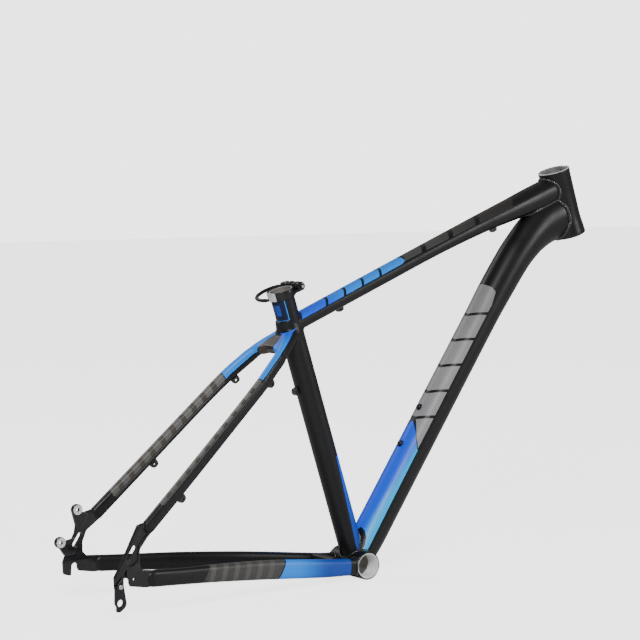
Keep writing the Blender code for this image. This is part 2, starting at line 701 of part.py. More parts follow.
def make_skewer():
    """The rod through the ears, with the eye that holds the lever's pivot pin."""
    spot = seat_point(SKEWER_LEVEL, SKEWER_FORWARD)
    pivot = spot + SIDE * PIVOT_SIDE
    rod = spun("clamp_skewer", solid_profile(SKEWER_RADIUS, -24 * MM, PIVOT_SIDE - 2 * MM), spot,
               SIDE, steps=20)
    eye = spun("join_skewer_eye", solid_profile(3.9 * MM, -1.9 * MM, 1.9 * MM), pivot, SEAT_AXIS,
               CUTTERS, 20)
    bore = spun("cut_skewer_eye", solid_profile(PIN_RADIUS + GAP, -5 * MM, 5 * MM), pivot,
                SEAT_AXIS, CUTTERS, 16)
    boolean(rod, eye, "UNION")
    boolean(rod, bore)
    finish(rod, "zinc_steel")
    pin = spun("lever_pivot_pin", solid_profile(PIN_RADIUS, -4.3 * MM, 4.3 * MM), pivot, SEAT_AXIS,
               steps=16)
    finish(pin, "zinc_steel")


def make_nut():
    """The adjusting nut on the skewer's threaded end and the washer under it."""
    inner = SKEWER_RADIUS + GAP
    spot = seat_point(SKEWER_LEVEL, SKEWER_FORWARD)
    washer_top = EAR_OUTER + GAP + 1.0 * MM
    low = washer_top + GAP
    profile = [(inner, low), (6.4 * MM, low), (6.8 * MM, low + 1 * MM), (6.8 * MM, low + 6.5 * MM),
               (6.0 * MM, low + 8 * MM), (4.2 * MM, low + 8.6 * MM), (inner, low + 8.6 * MM)]
    nut = spun("clamp_nut", profile, spot, -SIDE, steps=24)
    finish(nut, "black_anodised")
    washer = spun("clamp_washer", ring_profile(inner, 5.6 * MM, EAR_OUTER + GAP, washer_top), spot,
                  -SIDE, steps=24)
    finish(washer, "brass")


def make_cam_saddle():
    """The saddle between the ear and the lever's cam, hollowed to the cam's round face."""
    spot = seat_point(SKEWER_LEVEL, SKEWER_FORWARD)
    inner = SKEWER_RADIUS + GAP
    saddle = spun("cam_saddle", ring_profile(inner, 5.8 * MM, EAR_OUTER + GAP, EAR_OUTER + 4 * MM),
                  spot, SIDE, steps=24)
    hollow = spun("cut_cam_seat", solid_profile(CAM_RADIUS + 0.35 * MM, -7 * MM, 7 * MM),
                  spot + SIDE * (PIVOT_SIDE - CAM_OFFSET), SEAT_AXIS, CUTTERS, 32)
    boolean(saddle, hollow)
    finish(saddle, "black_anodised")


def move_origin(item, point):
    shift = item.matrix_world.inverted() @ point
    item.data.transform(Matrix.Translation(-shift))
    item.matrix_world = item.matrix_world @ Matrix.Translation(shift)


def make_lever():
    """An eccentric cam on the pivot pin with a bent rod that wraps the seat tube."""
    pivot = seat_point(SKEWER_LEVEL, SKEWER_FORWARD, PIVOT_SIDE)
    cam = freeze(spun("quick_release_lever", solid_profile(CAM_RADIUS, -CAM_HALF_HEIGHT, CAM_HALF_HEIGHT),
                      pivot - SIDE * CAM_OFFSET, SEAT_AXIS, steps=28))
    move_origin(cam, pivot)
    # Open towards every direction that the skewer takes, seen from the turning lever.
    slot_outline = [(-4.4, -14, 0), (14, -14, 0), (14, 14.3, 0), (3.2, 14.3, 0), (-4.4, 1.2, 0)]
    slot = plate("cut_cam_slot", [rounded(slot_outline)], 5.0 * MM,
                 clamp_matrix(SKEWER_LEVEL, PIVOT_SIDE, SKEWER_FORWARD), CUTTERS)
    bore = spun("cut_cam_bore", solid_profile(PIN_RADIUS + GAP, -8 * MM, 8 * MM), pivot, SEAT_AXIS,
                CUTTERS, 16)
    boolean(cam, make_lever_rod(), "UNION")
    boolean(cam, slot)
    boolean(cam, bore)
    finish(cam, "black_anodised")


def make_lever_rod():
    curve = bpy.data.curves.new("join_lever_rod", "CURVE")
    curve.dimensions = "3D"
    curve.bevel_depth = LEVER_ROD_RADIUS
    curve.bevel_resolution = 2
    curve.use_fill_caps = True
    spline = curve.splines.new("POLY")
    route = [(SKEWER_FORWARD - 4.6 * MM, PIVOT_SIDE + 1.0 * MM, SKEWER_LEVEL),
             (SKEWER_FORWARD - 5.8 * MM, PIVOT_SIDE + 5.0 * MM, SKEWER_LEVEL)]
    first, last = LEVER_SWEEP
    bends = 15
    for i in range(bends + 1):
        angle = first + (last - first) * i / bends
        route.append((LEVER_SWEEP_RADIUS * math.cos(angle), LEVER_SWEEP_RADIUS * math.sin(angle),
                      SKEWER_LEVEL - LEVER_DROP * i / bends))
    spline.points.add(len(route) - 1)
    for point, (forward, side, level) in zip(spline.points, route):
        point.co = (*seat_point(level, forward, side), 1)
    return freeze(new_object("join_lever_rod", curve, CUTTERS))


def build():
    clear_scene()
    cutters = make_mitre_cutters()
    make_head_tube()
    make_bottom_bracket()
    make_seat_tube(cutters)
    make_top_tube(cutters)
    make_down_tube(cutters)
    make_bottle_bosses()
    make_seat_stay_yoke(cutters)
    make_seat_stays()
    make_chainstays(cutters)
    make_chainstay_bridge(cutters)
    make_dropout_left()
    make_dropout_right()
    make_hanger()
    stay_guides()
    tube_guides()
    make_collar()
    make_skewer()
    make_nut()
    make_cam_saddle()
    make_lever()


build()
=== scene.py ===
"""Looks of the bicycle frame: painted tubes with blue and grey blocks, rippled weld beads,
machined faces and the seat clamp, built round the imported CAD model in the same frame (metres).
"""
import math
from math import cos, pi, radians, sin

import bmesh
import bpy
from mathutils import Matrix, Vector


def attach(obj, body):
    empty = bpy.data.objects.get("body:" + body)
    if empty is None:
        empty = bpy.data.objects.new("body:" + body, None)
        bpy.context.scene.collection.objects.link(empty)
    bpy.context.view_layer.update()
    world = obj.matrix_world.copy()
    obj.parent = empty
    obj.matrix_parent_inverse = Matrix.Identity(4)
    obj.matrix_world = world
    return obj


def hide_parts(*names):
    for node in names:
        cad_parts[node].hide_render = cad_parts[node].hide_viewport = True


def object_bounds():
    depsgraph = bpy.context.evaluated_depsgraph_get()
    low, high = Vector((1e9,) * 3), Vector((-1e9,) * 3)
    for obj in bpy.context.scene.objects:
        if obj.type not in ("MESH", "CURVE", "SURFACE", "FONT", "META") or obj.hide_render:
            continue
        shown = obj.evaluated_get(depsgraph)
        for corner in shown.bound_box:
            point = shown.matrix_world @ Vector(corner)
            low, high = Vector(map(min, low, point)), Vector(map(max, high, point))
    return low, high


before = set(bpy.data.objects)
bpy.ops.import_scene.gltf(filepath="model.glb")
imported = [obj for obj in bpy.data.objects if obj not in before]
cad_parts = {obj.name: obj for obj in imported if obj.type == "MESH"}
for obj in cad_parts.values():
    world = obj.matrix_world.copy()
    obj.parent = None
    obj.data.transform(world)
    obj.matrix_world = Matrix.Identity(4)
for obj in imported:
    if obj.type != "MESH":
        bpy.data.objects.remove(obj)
CAD_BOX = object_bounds()
MM = 0.001
FRAME_BODY = "frame"
CLAMP_BODY = "seat_clamp"
LEVER_BODY = "clamp_lever"
NUT_BODY = "adjusting_nut"

# ---- dimensions shared with the CAD model ----
SEAT_ANGLE = radians(72.1)
HEAD_ANGLE = radians(72.2)
SEAT_AXIS = Vector((-cos(SEAT_ANGLE), 0, sin(SEAT_ANGLE)))
SEAT_FORWARD = Vector((sin(SEAT_ANGLE), 0, cos(SEAT_ANGLE)))
SEAT_FOOT = Vector((2, 0, 0)) * MM
SEAT_RADIUS = 17.45
SEAT_BORE = 15.8
SEAT_LENGTH = 432.5
HEAD_AXIS = Vector((-cos(HEAD_ANGLE), 0, sin(HEAD_ANGLE)))
HEAD_LENGTH = 108
HEAD_FOOT = Vector((392.4, 0, 581.6)) * MM - HEAD_AXIS * HEAD_LENGTH * MM
HEAD_RADIUS = 24.8
HEAD_FLARE = 27.0
HEAD_BORE = 22.0
BB_RADIUS = 20.9
BB_THREAD = 17.3
BB_HALF = 36.5
AXLE = Vector((-433.8, 0, 32)) * MM
SIDE = Vector((0, 1, 0))
UP = Vector((0, 0, 1))

# Tube routes: centre x, y, z, half width, half depth (mm) at each station.
TOP_TUBE = [
    (-116, 0, 358.2, 16.0, 11.7), (-60, 0, 380.8, 16.5, 11.7), (40, 0, 421.0, 17.0, 11.8),
    (150, 0, 465.0, 17.5, 12.0), (240, 0, 498.9, 18.5, 14.0), (300, 0, 519.4, 19.5, 17.0),
    (345, 0, 535.1, 20.0, 19.5), (402, 0, 555.6, 20.0, 20.5)]
DOWN_TUBE = [
    (3.7, 0, 2.5, 27.0, 20.4), (12, 0, 14.7, 27.0, 21.6), (28, 0, 38.1, 26.0, 24.6),
    (60, 0, 85.0, 25.1, 25.1), (160, 0, 231.6, 25.1, 25.1), (240, 0, 348.9, 25.1, 25.3),
    (269.5, 0, 391.4, 25.1, 26.8), (307, 0, 441.4, 25.2, 27.8), (327, 0, 463.4, 25.2, 28.8),
    (346.3, 0, 481.3, 25.0, 31.0), (372, 0, 499.0, 24.6, 34.5), (404, 0, 511.5, 24.2, 35.5)]
SEAT_STAY = [
    (-158, 37.2, 316.4, 7.4, 9.4), (-182, 45.6, 296.0, 7.3, 9.4), (-200, 50.4, 280.0, 7.3, 9.2),
    (-240, 55.7, 244.4, 7.3, 8.7), (-330, 65.0, 163.6, 7.3, 8.9), (-397.0, 71.0, 104.2, 6.2, 9.4)]
CHAINSTAY = [
    (-12, 27.5, 0, 9.0, 12.4), (-40, 30.0, 1.3, 9.0, 12.6), (-80, 35.0, 5.0, 8.6, 13.3),
    (-140, 40.0, 11.5, 8.4, 13.8), (-200, 45.6, 17.6, 8.2, 13.7), (-280, 58.0, 24.6, 7.8, 12.5),
    (-340, 66.0, 28.6, 7.3, 11.6), (-390.2, 70.5, 31.8, 6.6, 11.6)]
ROUND_POWER = 2.0
TOP_POWER = 2.5
STAY_POWER = 3.0


# ---- mesh helpers ----

def link_object(name, data):
    item = bpy.data.objects.new(name, data)
    bpy.context.scene.collection.objects.link(item)
    return item


def mesh_object(name, work):
    """Turns a bmesh into an object whose faces point outwards."""
    mesh = bpy.data.meshes.new(name)
    bmesh.ops.recalc_face_normals(work, faces=work.faces)
    work.to_mesh(mesh)
    work.free()
    return link_object(name, mesh)


def finish_mesh(name, work, looks, body=FRAME_BODY, slot="black_paint", replaces=(), sharp=38):
    """A finished piece; looks are names in PAINTS, in the order of its faces' material indices."""
    for face in work.faces:
        face.smooth = True
    item = mesh_object(name, work)
    for look in looks:
        item.data.materials.append(PAINTS[look])
    item.data.set_sharp_from_angle(angle=radians(sharp))
    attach(item, body)
    if replaces:
        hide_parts(*replaces)


def axis_frame(axis):
    z_dir = axis.normalized()
    hint = Vector((1, 0, 0.01))
    x_dir = (hint - z_dir * hint.dot(z_dir)).normalized()
    return x_dir, z_dir.cross(x_dir), z_dir


def lathe_into(work, profile, base, axis, steps, radial=None):
    """Turns (radius, height[, material]) points in mm about an axis into a ring or solid."""
    x_dir, y_dir, z_dir = axis_frame(axis)
    rings = []
    for radius, height, *_ in profile:
        if radius <= 0:
            rings.append([work.verts.new(base + z_dir * height * MM)])
            continue
        ring = []
        for angle in ring_angles(steps):
            reach = radius if radial is None else radial(radius, angle)
            away = (x_dir * cos(angle) + y_dir * sin(angle)) * reach * MM
            ring.append(work.verts.new(base + away + z_dir * height * MM))
        rings.append(ring)
    closed = profile[0][0] > 0
    for index in range(len(rings) if closed else len(rings) - 1):
        low, high = rings[index], rings[(index + 1) % len(rings)]
        for i in range(steps):
            j = (i + 1) % steps
            corners = [low[i % len(low)], low[j % len(low)], high[j % len(high)],
                       high[i % len(high)]]
            unique = list(dict.fromkeys(corners))
            if len(unique) > 2:
                work.faces.new(unique).material_index = (*profile[index], 0)[2]
    return work


def lathe(name, profile, base, axis, looks, steps=96, radial=None, **kwargs):
    work = lathe_into(bmesh.new(), profile, base, axis, steps, radial)
    finish_mesh(name, work, looks, **kwargs)


def ring_angles(steps):
    return [2 * pi * i / steps for i in range(steps)]


def add_band(work, low, high):
    """Quads between two rings of points."""
    for k in range(len(low)):
        j = (k + 1) % len(low)
        work.faces.new((low[k], low[j], high[j], high[k]))


def catmull(before, start, end, after, t):
    return 0.5 * ((2 * start) + (end - before) * t
                  + (2 * before - 5 * start + 4 * end - after) * t * t
                  + (3 * start - before - 3 * end + after) * t * t * t)


class Tube:
    """A lofted tube: its route, its cross sections and a test for points inside it."""

    def __init__(self, stations, power, mirror=1, spans=10):
        rows = []
        for index in range(len(stations) - 1):
            window = [stations[max(index - 1, 0)], stations[index], stations[index + 1],
                      stations[min(index + 2, len(stations) - 1)]]
            rows += [[catmull(*column, step / spans) for column in zip(*window)]
                     for step in range(spans)]
        rows.append(list(stations[-1]))
        self.power = power
        self.mirror = mirror
        self.centred = not any(row[1] for row in stations)
        self.centres = [Vector((r[0], r[1] * mirror, r[2])) * MM for r in rows]
        self.sizes = [(r[3], r[4]) for r in rows]
        self.frames = []
        self.along = [0.0]
        last = len(rows) - 1
        for i, centre in enumerate(self.centres):
            tangent = (self.centres[min(i + 1, last)] - self.centres[max(i - 1, 0)]).normalized()
            side = tangent.cross(UP).normalized()
            self.frames.append((side, side.cross(tangent), tangent))
            if i:
                self.along.append(self.along[-1] + (centre - self.centres[i - 1]).length / MM)

    def at(self, place):
        """Centre, directions, half sizes and distance along at a fractional row."""
        i = min(int(place), len(self.centres) - 2)
        t = place - i
        centre = self.centres[i].lerp(self.centres[i + 1], t)
        side = self.frames[i][0].lerp(self.frames[i + 1][0], t).normalized()
        rise = self.frames[i][1].lerp(self.frames[i + 1][1], t).normalized()
        wide = self.sizes[i][0] * (1 - t) + self.sizes[i + 1][0] * t
        deep = self.sizes[i][1] * (1 - t) + self.sizes[i + 1][1] * t
        return centre, side, rise, wide, deep, self.along[i] * (1 - t) + self.along[i + 1] * t

    def edge(self, angle, wide, deep):
        c, s = cos(angle), sin(angle)
        return (wide * math.copysign(abs(c) ** (2 / self.power), c),
                deep * math.copysign(abs(s) ** (2 / self.power), s))

    def surface(self, place, angle):
        centre, side, rise, wide, deep, _ = self.at(place)
        u, v = self.edge(angle, wide, deep)
        return centre + (side * u + rise * v) * MM

    def local(self, point):
        """Distance along, outward and up (mm) of a point, and the half sizes beside it."""
        best, found = 1e9, 0
        for i in range(len(self.centres) - 1):
            a, b = self.centres[i], self.centres[i + 1]
            t = min(max((point - a).dot(b - a) / (b - a).length_squared, 0), 1)
            away = (point - a.lerp(b, t)).length
            if away < best:
                best, found = away, i + t
        centre, side, rise, wide, deep, along = self.at(found)
        offset = (point - centre) / MM
        return along, offset.dot(side) * self.outward(side), offset.dot(rise), wide, deep

    def outward(self, side):
        return 1 if side.y * self.mirror > 0 else -1

    def outside(self, point):
        """Below zero inside the tube's outer surface, above zero outside it."""
        _, across, up, wide, deep = self.local(point)
        return (abs(across) / wide) ** self.power + (abs(up) / deep) ** self.power - 1

    def mesh(self, count):
        """Closed skin with a point attribute holding distance along, outward and up (mm)."""
        work = bmesh.new()
        layer = work.verts.layers.float_vector.new("tube")
        rings = []
        for i, centre in enumerate(self.centres):
            side, rise, _ = self.frames[i]
            outward = self.outward(side)
            ring = []
            for angle in ring_angles(count):
                u, v = self.edge(angle, *self.sizes[i])
                vert = work.verts.new(centre + (side * u + rise * v) * MM)
                vert[layer] = (self.along[i], abs(u) if self.centred else u * outward, v)
                ring.append(vert)
            rings.append(ring)
        for low, high in zip(rings, rings[1:]):
            add_band(work, low, high)
        work.faces.new(rings[0])
        work.faces.new(rings[-1])
        return work


def both_sides(stations):
    return {"left": Tube(stations, STAY_POWER, 1), "right": Tube(stations, STAY_POWER, -1)}


def cylinder_outside(foot, axis, radius):
    def test(point):
        offset = (point - foot) / MM
        return (offset - axis * offset.dot(axis)).length / radius - 1
    return test


def rounded(corners, steps=6):
    """Corner points (x, y, radius) turned into an outline with arcs at the corners."""
    out = []
    count = len(corners)
    for index, (x, y, radius) in enumerate(corners):
        here = Vector((x, y))
        to_before = (Vector(corners[index - 1][:2]) - here).normalized()
        to_after = (Vector(corners[(index + 1) % count][:2]) - here).normalized()
        half = to_before.angle(to_after) / 2
        if radius <= 0 or half > radians(86):
            out.append(here)
            continue
        centre = here + (to_before + to_after).normalized() * (radius / sin(half))
        start = here + to_before * (radius / math.tan(half)) - centre
        end = here + to_after * (radius / math.tan(half)) - centre
        turn = start.angle_signed(end)
        arc_steps = max(2, round(steps * abs(turn) / (pi / 2)))
        for step in range(arc_steps + 1):
            angle = -turn * step / arc_steps
            c, s = cos(angle), sin(angle)
            out.append(centre + Vector((start.x * c - start.y * s, start.x * s + start.y * c)))
    return out


def circle(x, y, radius, steps=32):
    return [Vector((x + radius * cos(a), y + radius * sin(a))) for a in ring_angles(steps)]


def arc(centre, radius, first, last, steps):
    angles = [radians(first + (last - first) * i / steps) for i in range(steps + 1)]
    return [(centre[0] + radius * cos(a), centre[1] + radius * sin(a), 0)
            for a in angles]


def part_circle(radius, first, turn, steps=96):
    angles = [first + turn * i / steps for i in range(steps + 1)]
    return [Vector((radius * cos(a), radius * sin(a))) for a in angles]


def slot_outline(start, end, radius, steps=10):
    a, b = Vector(start), Vector(end)
    heading = math.atan2(b.y - a.y, b.x - a.x)
    out = []
    for centre, base in ((a, heading + pi / 2), (b, heading - pi / 2)):
        out += [centre + point * radius for point in part_circle(1, base, pi, steps)]
    return out


def plate_mesh(loops, thickness, matrix, bevel=0.6, segments=2):
    """A flat plate in mm with rounded edges, from a filled 2D curve."""
    curve = bpy.data.curves.new("plate", "CURVE")
    curve.dimensions = "2D"
    curve.fill_mode = "BOTH"
    curve.extrude = (thickness / 2 - bevel) * MM
    curve.bevel_depth = bevel * MM
    curve.offset = -bevel * MM
    curve.bevel_resolution = segments
    for loop in loops:
        spline = curve.splines.new("POLY")
        spline.points.add(len(loop) - 1)
        for point, at in zip(spline.points, loop):
            point.co = (at.x * MM, at.y * MM, 0, 1)
        spline.use_cyclic_u = True
    holder = bpy.data.objects.new("plate", curve)
    mesh = bpy.data.meshes.new_from_object(holder)
    bpy.data.objects.remove(holder)
    bpy.data.curves.remove(curve)
    work = bmesh.new()
    work.from_mesh(mesh)
    bpy.data.meshes.remove(mesh)
    bmesh.ops.remove_doubles(work, verts=work.verts, dist=0.00001)
    work.transform(matrix)
    return work


def joined(*works):
    out = bmesh.new()
    for work in works:
        mesh = bpy.data.meshes.new("join")
        work.to_mesh(mesh)
        work.free()
        out.from_mesh(mesh)
        bpy.data.meshes.remove(mesh)
    return out


def from_axle(x, z, y=0):
    spot = AXLE + Vector((x, 0, z)) * MM
    return Vector((spot.x, y * MM, spot.z))


def side_matrix(y):
    return Matrix.Translation(from_axle(0, 0, y)) @ Matrix.Rotation(pi / 2, 4, "X")


def seat_point(level, forward=0.0, side=0.0):
    return SEAT_FOOT + (SEAT_AXIS * level + SEAT_FORWARD * forward + SIDE * side) * MM


def clamp_matrix(level, forward=0.0):
    turned = Matrix((SEAT_FORWARD, SIDE, SEAT_AXIS)).transposed().to_4x4()
    return Matrix.Translation(seat_point(level, forward)) @ turned


# ---- weld beads ----

WELD_PITCH = 2.3


def sweep(points, radius, closed=True, sides=12, ripple=0.0):
    """A round bead along points; ripple gives it the overlapped rows of a welded seam."""
    work = bmesh.new()
    spacing = 0.45 if ripple else 1.2
    pitch = WELD_PITCH
    loop = points + [points[0]] if closed else points
    lengths = [0.0]
    for a, b in zip(loop, loop[1:]):
        lengths.append(lengths[-1] + (b - a).length / MM)
    total = lengths[-1]
    rows = max(8, round(total / spacing))
    if closed:
        pitch = total / max(1, round(total / pitch))
    path, seg = [], 0
    for row in range(rows if closed else rows + 1):
        want = total * row / rows
        while seg < len(lengths) - 2 and lengths[seg + 1] < want:
            seg += 1
        t = (want - lengths[seg]) / max(lengths[seg + 1] - lengths[seg], 1e-9)
        path.append((loop[seg].lerp(loop[seg + 1], min(max(t, 0), 1)), want))
    count = len(path)
    side = None
    rings = []
    for i, (centre, want) in enumerate(path):
        ahead = path[(i + 1) % count][0] if closed or i + 1 < count else centre
        behind = path[i - 1][0] if closed or i else centre
        tangent = (ahead - behind).normalized()
        if side is None:
            side = tangent.orthogonal().normalized()
        side = (side - tangent * side.dot(tangent)).normalized()
        rise = tangent.cross(side)
        ring = []
        for angle in ring_angles(sides):
            phase = (want / pitch) % 1.0
            swell = 1 + ripple * (1 - 2 * phase) * (0.8 + 0.2 * cos(2 * angle))
            ends = 1.0 if closed else min(1.0, 0.35 + min(want, total - want) / (2 * radius))
            away = (side * cos(angle) + rise * sin(angle)) * radius * swell * ends * MM
            ring.append(work.verts.new(centre + away))
        rings.append(ring)
    for i in range(count if closed else count - 1):
        low, high = rings[i], rings[(i + 1) % count]
        shift = 0
        if closed and i == count - 1:
            shift = min(range(sides), key=lambda s: (low[0].co - high[s].co).length)
        add_band(work, low, high[shift:] + high[:shift])
    if not closed:
        work.faces.new(rings[0])
        work.faces.new(rings[-1])
    return work


def meeting_line(tube, others, start, end, count=72):
    """Where a tube's skin, followed from one row to another, first meets the other surfaces."""
    def inside(place, angle):
        return min(test(tube.surface(place, angle)) for test in others) < 0

    points = []
    steps = 60
    for angle in ring_angles(count):
        before = start
        hit = end
        for step in range(1, steps + 1):
            place = start + (end - start) * step / steps
            if inside(place, angle):
                hit = place
                break
            before = place
        for _ in range(12):
            middle = (before + hit) / 2
            if inside(middle, angle):
                hit = middle
            else:
                before = middle
        points.append(tube.surface(hit, angle))
    return points


def weld(name, points, radius, ripple=0.14):
    finish_mesh(name, sweep(points, radius, ripple=ripple), ["seam"], sharp=60)


# ---- materials ----

OUT, RISE = 1, 2
WEB_TILT = 0.75


class Nodes:
    """Small helpers round one material's node tree."""

    def __init__(self, name):
        self.made = bpy.data.materials.new(name)
        self.made.use_nodes = True
        self.tree = self.made.node_tree
        self.shader = self.tree.nodes["Principled BSDF"]
        self.object = self.add("ShaderNodeTexCoord").outputs["Object"]

    def add(self, kind, links=(), **settings):
        node = self.tree.nodes.new(kind)
        for key, value in settings.items():
            setattr(node, key, value)
        for socket, value in links:
            if isinstance(value, bpy.types.NodeSocket):
                self.tree.links.new(value, node.inputs[socket])
            else:
                node.inputs[socket].default_value = value
        return node

    def link(self, source, name):
        self.tree.links.new(source, self.shader.inputs[name])

    def math(self, operation, a, b=0.0):
        return self.add("ShaderNodeMath", [(0, a), (1, b)], operation=operation).outputs[0]

    def dot(self, vector, weights):
        links = [(0, vector), (1, weights)]
        return self.add("ShaderNodeVectorMath", links, operation="DOT_PRODUCT").outputs["Value"]

    def noise(self, scale, detail=3.0, roughness=0.5, vector=None):
        links = {"Vector": vector or self.object, "Scale": scale, "Detail": detail,
                 "Roughness": roughness}
        return self.add("ShaderNodeTexNoise", links.items()).outputs["Fac"]

    def remap(self, value, low, high, out_low, out_high):
        links = enumerate((value, low, high, out_low, out_high))
        return self.add("ShaderNodeMapRange", links).outputs["Result"]

    def mix(self, factor, a, b):
        links = [(0, factor)]
        links += [(index, value if isinstance(value, bpy.types.NodeSocket) else (*value, 1))
                  for index, value in ((6, a), (7, b))]
        return self.add("ShaderNodeMix", links, data_type="RGBA").outputs[2]

    def clouded(self, scale, detail, low, high):
        """A colour that drifts between two in soft clouds."""
        return self.mix(self.remap(self.noise(scale, detail), 0.3, 0.7, 0.0, 1.0), low, high)

    def rough(self, scale, detail, low, high):
        self.link(self.remap(self.noise(scale, detail), 0.3, 0.7, low, high), "Roughness")

    def bump(self, height, strength, distance):
        links = [("Height", height), ("Strength", strength), ("Distance", distance)]
        self.link(self.add("ShaderNodeBump", links).outputs["Normal"], "Normal")

    def tube_plane(self, base, other, tilt):
        """(distance along, one offset plus another times tilt, 1) on a tube, in mm.

        The offsets are the outward (OUT) and upward (RISE) parts of the mesh attribute. A tilt
        slants the blocks' long edges round the tube.
        """
        spot = self.add("ShaderNodeAttribute", attribute_name="tube").outputs["Vector"]
        parts = self.add("ShaderNodeSeparateXYZ", [(0, spot)]).outputs
        offset = self.math("ADD", parts[base], self.math("MULTIPLY", parts[other], tilt))
        return self.add("ShaderNodeCombineXYZ", [(0, parts[0]), (1, offset), (2, 1.0)]).outputs[0]

    def polygon(self, plane, corners):
        """1 inside a convex outline on the plane, 0 outside it."""
        middle = Vector((sum(c[0] for c in corners), sum(c[1] for c in corners))) / len(corners)
        nearest = None
        for index, corner in enumerate(corners):
            a, b = Vector(corners[index - 1]), Vector(corner)
            normal = Vector((a.y - b.y, b.x - a.x)).normalized()
            if normal.dot(middle - a) < 0:
                normal = -normal
            inside = self.dot(plane, (normal.x, normal.y, -normal.dot(a)))
            nearest = inside if nearest is None else self.math("MINIMUM", nearest, inside)
        return self.math("GREATER_THAN", nearest, 0.0)


def linear(red, green, blue):
    """A colour as seen on a screen (0 to 255) turned into linear light."""
    return tuple(((c / 255 + 0.055) / 1.055) ** 2.4 if c > 10 else c / 255 / 12.92
                 for c in (red, green, blue))


BLACK = (0.0065, 0.0065, 0.0075)
BLUE = (0.006, 0.105, 0.95)
DEEP_BLUE = (0.008, 0.065, 0.42)
# SKY_BLUE also stands in for a painted highlight on the blue tops of the seat stays and yoke arms.
SKY_BLUE = (0.006, 0.27, 1.0)
CYAN = (0.004, 0.50, 1.0)
NAVY = linear(10, 20, 56)
WARM_GREY = linear(146, 146, 148)
DARK_GREY = linear(70, 69, 67)
ARM_BLUE = (0.005, 0.17, 0.80)
TAUPE = linear(78, 66, 56)
STAY_GREY = linear(104, 102, 99)
STAY_DARK = linear(70, 66, 60)


def shaded(colour, factor):
    return tuple(c * factor for c in colour)


def add_blocks(n, colour, where, layers):
    """Lays flat or graded blocks over a colour: (outline, colour[, second, start, end])."""
    for outline, first, *rest in layers:
        shade = first
        if rest:
            second, start, end = rest
            run = Vector(end) - Vector(start)
            weights = (run.x / run.length_squared, run.y / run.length_squared,
                       -run.dot(Vector(start)) / run.length_squared)
            node = n.add("ShaderNodeMapRange", [("Value", n.dot(where, weights))],
                         interpolation_type="SMOOTHSTEP")
            shade = n.mix(node.outputs["Result"], first, second)
        colour = n.mix(n.polygon(where, outline), colour, shade)
    return colour


PAINT_ROUGHNESS = 0.36
PAINT_SPECULAR = 0.30
ORANGE_PEEL = 0.05
TOOL_LINES = (30, 3230, 30)


def paint(name, tilt=0.0, layers=(), across=()):
    """Satin paint: black with blocks over it, fine flake and a slight orange peel."""
    n = Nodes(name)
    colour = n.clouded(9.0, 4.0, BLACK, shaded(BLACK, 1.35))
    if layers:
        colour = add_blocks(n, colour, n.tube_plane(RISE, OUT, -tilt), layers)
    if across:
        colour = add_blocks(n, colour, n.tube_plane(OUT, RISE, WEB_TILT), across)
    flake = n.noise(2600.0, 2.0, 0.7)
    grain = n.remap(flake, 0.25, 0.75, 0.88, 1.12)
    tinted = n.add("ShaderNodeVectorMath", [(0, colour), (1, grain)], operation="MULTIPLY")
    n.link(tinted.outputs[0], "Base Color")
    n.rough(35.0, 5.0, PAINT_ROUGHNESS - 0.04, PAINT_ROUGHNESS + 0.05)
    n.shader.inputs["Specular IOR Level"].default_value = PAINT_SPECULAR
    n.bump(n.noise(520.0, 2.0), ORANGE_PEEL, 0.0004)
    return n.made


def metal(name, colour, roughness, lines=0.0, metallic=1.0):
    """Machined or rolled metal: fine tool lines across one direction and a cloudy finish."""
    n = Nodes(name)
    n.link(n.clouded(40.0, 5.0, shaded(colour, 0.86), colour), "Base Color")
    n.rough(124.0, 4.0, roughness * 0.8, roughness * 1.25)
    n.shader.inputs["Metallic"].default_value = metallic
    stretched = n.add("ShaderNodeMapping", [("Vector", n.object), ("Scale", TOOL_LINES)])
    grooves = n.noise(1.0, 3.0, 0.6, stretched.outputs[0])
    n.bump(grooves, 0.1 + lines, 0.0002)
    return n.made


def plastic(name, colour, roughness):
    n = Nodes(name)
    n.link(n.clouded(120.0, 4.0, colour, shaded(colour, 1.5)), "Base Color")
    n.rough(260.0, 3.0, roughness - 0.05, roughness + 0.07)
    n.bump(n.noise(2400.0, 3.0), 0.12, 0.0002)
    return n.made


def seam_paint(name):
    """Paint pooled over a weld bead: glossier and a little lighter than the tubes."""
    n = Nodes(name)
    n.link(n.clouded(700.0, 3.0, BLACK, shaded(BLACK, 1.8)), "Base Color")
    n.rough(300.0, 3.0, 0.20, 0.32)
    n.shader.inputs["Coat Weight"].default_value = 0.6
    n.shader.inputs["Coat Roughness"].default_value = 0.12
    n.bump(n.noise(1500.0, 3.0), 0.15, 0.0003)
    return n.made


def slashes(starts, low, high, lean, width, colour=BLACK):
    """Equal slanted cuts right across a panel; no lettering."""
    return [([(at, low), (at + width, low), (at + width + lean, high), (at + lean, high)], colour)
            for at in starts]


TOP_LAYERS = [
    ([(16, -6), (20, 3), (27, 14), (223, 14), (220, -2), (213, -5)], BLUE, SKY_BLUE,
     (60, -4), (90, 26)),
    *slashes((60, 95, 130, 165), -8, 14, 14, 4.5),
    ([(218, -4.8), (232, 16), (462, 22), (446, 2), (440, -8), (310, -5)], DARK_GREY,
     shaded(DARK_GREY, 0.4), (240, 0), (440, 0)),
    *slashes((250, 305, 360), -10, 22, 20, 9)]


def down_tube_layers():
    panel = [(470, 32), (470, 11), (466, 2), (445, -2.5), (190, -2.5), (207.5, 10), (238, 26),
             (250, 32)]
    return [
        ([(240, 34), (188, -3.5), (24, -5), (8, -5), (8, 34)], BLUE, CYAN, (100, 16), (98.8, 0)),
        ([(s - 2.5, w) for s, w in panel], BLACK),
        (panel, WARM_GREY, shaded(WARM_GREY, 0.78), (330, 22), (460, 0)),
        *slashes((428, 382, 336, 290, 244), -4, 27, -16, 5),
        ([(45, 21), (41, 13), (33, 6.2), (22, 2.8), (8, 2.8), (8, 26), (36, 26)], BLACK)]


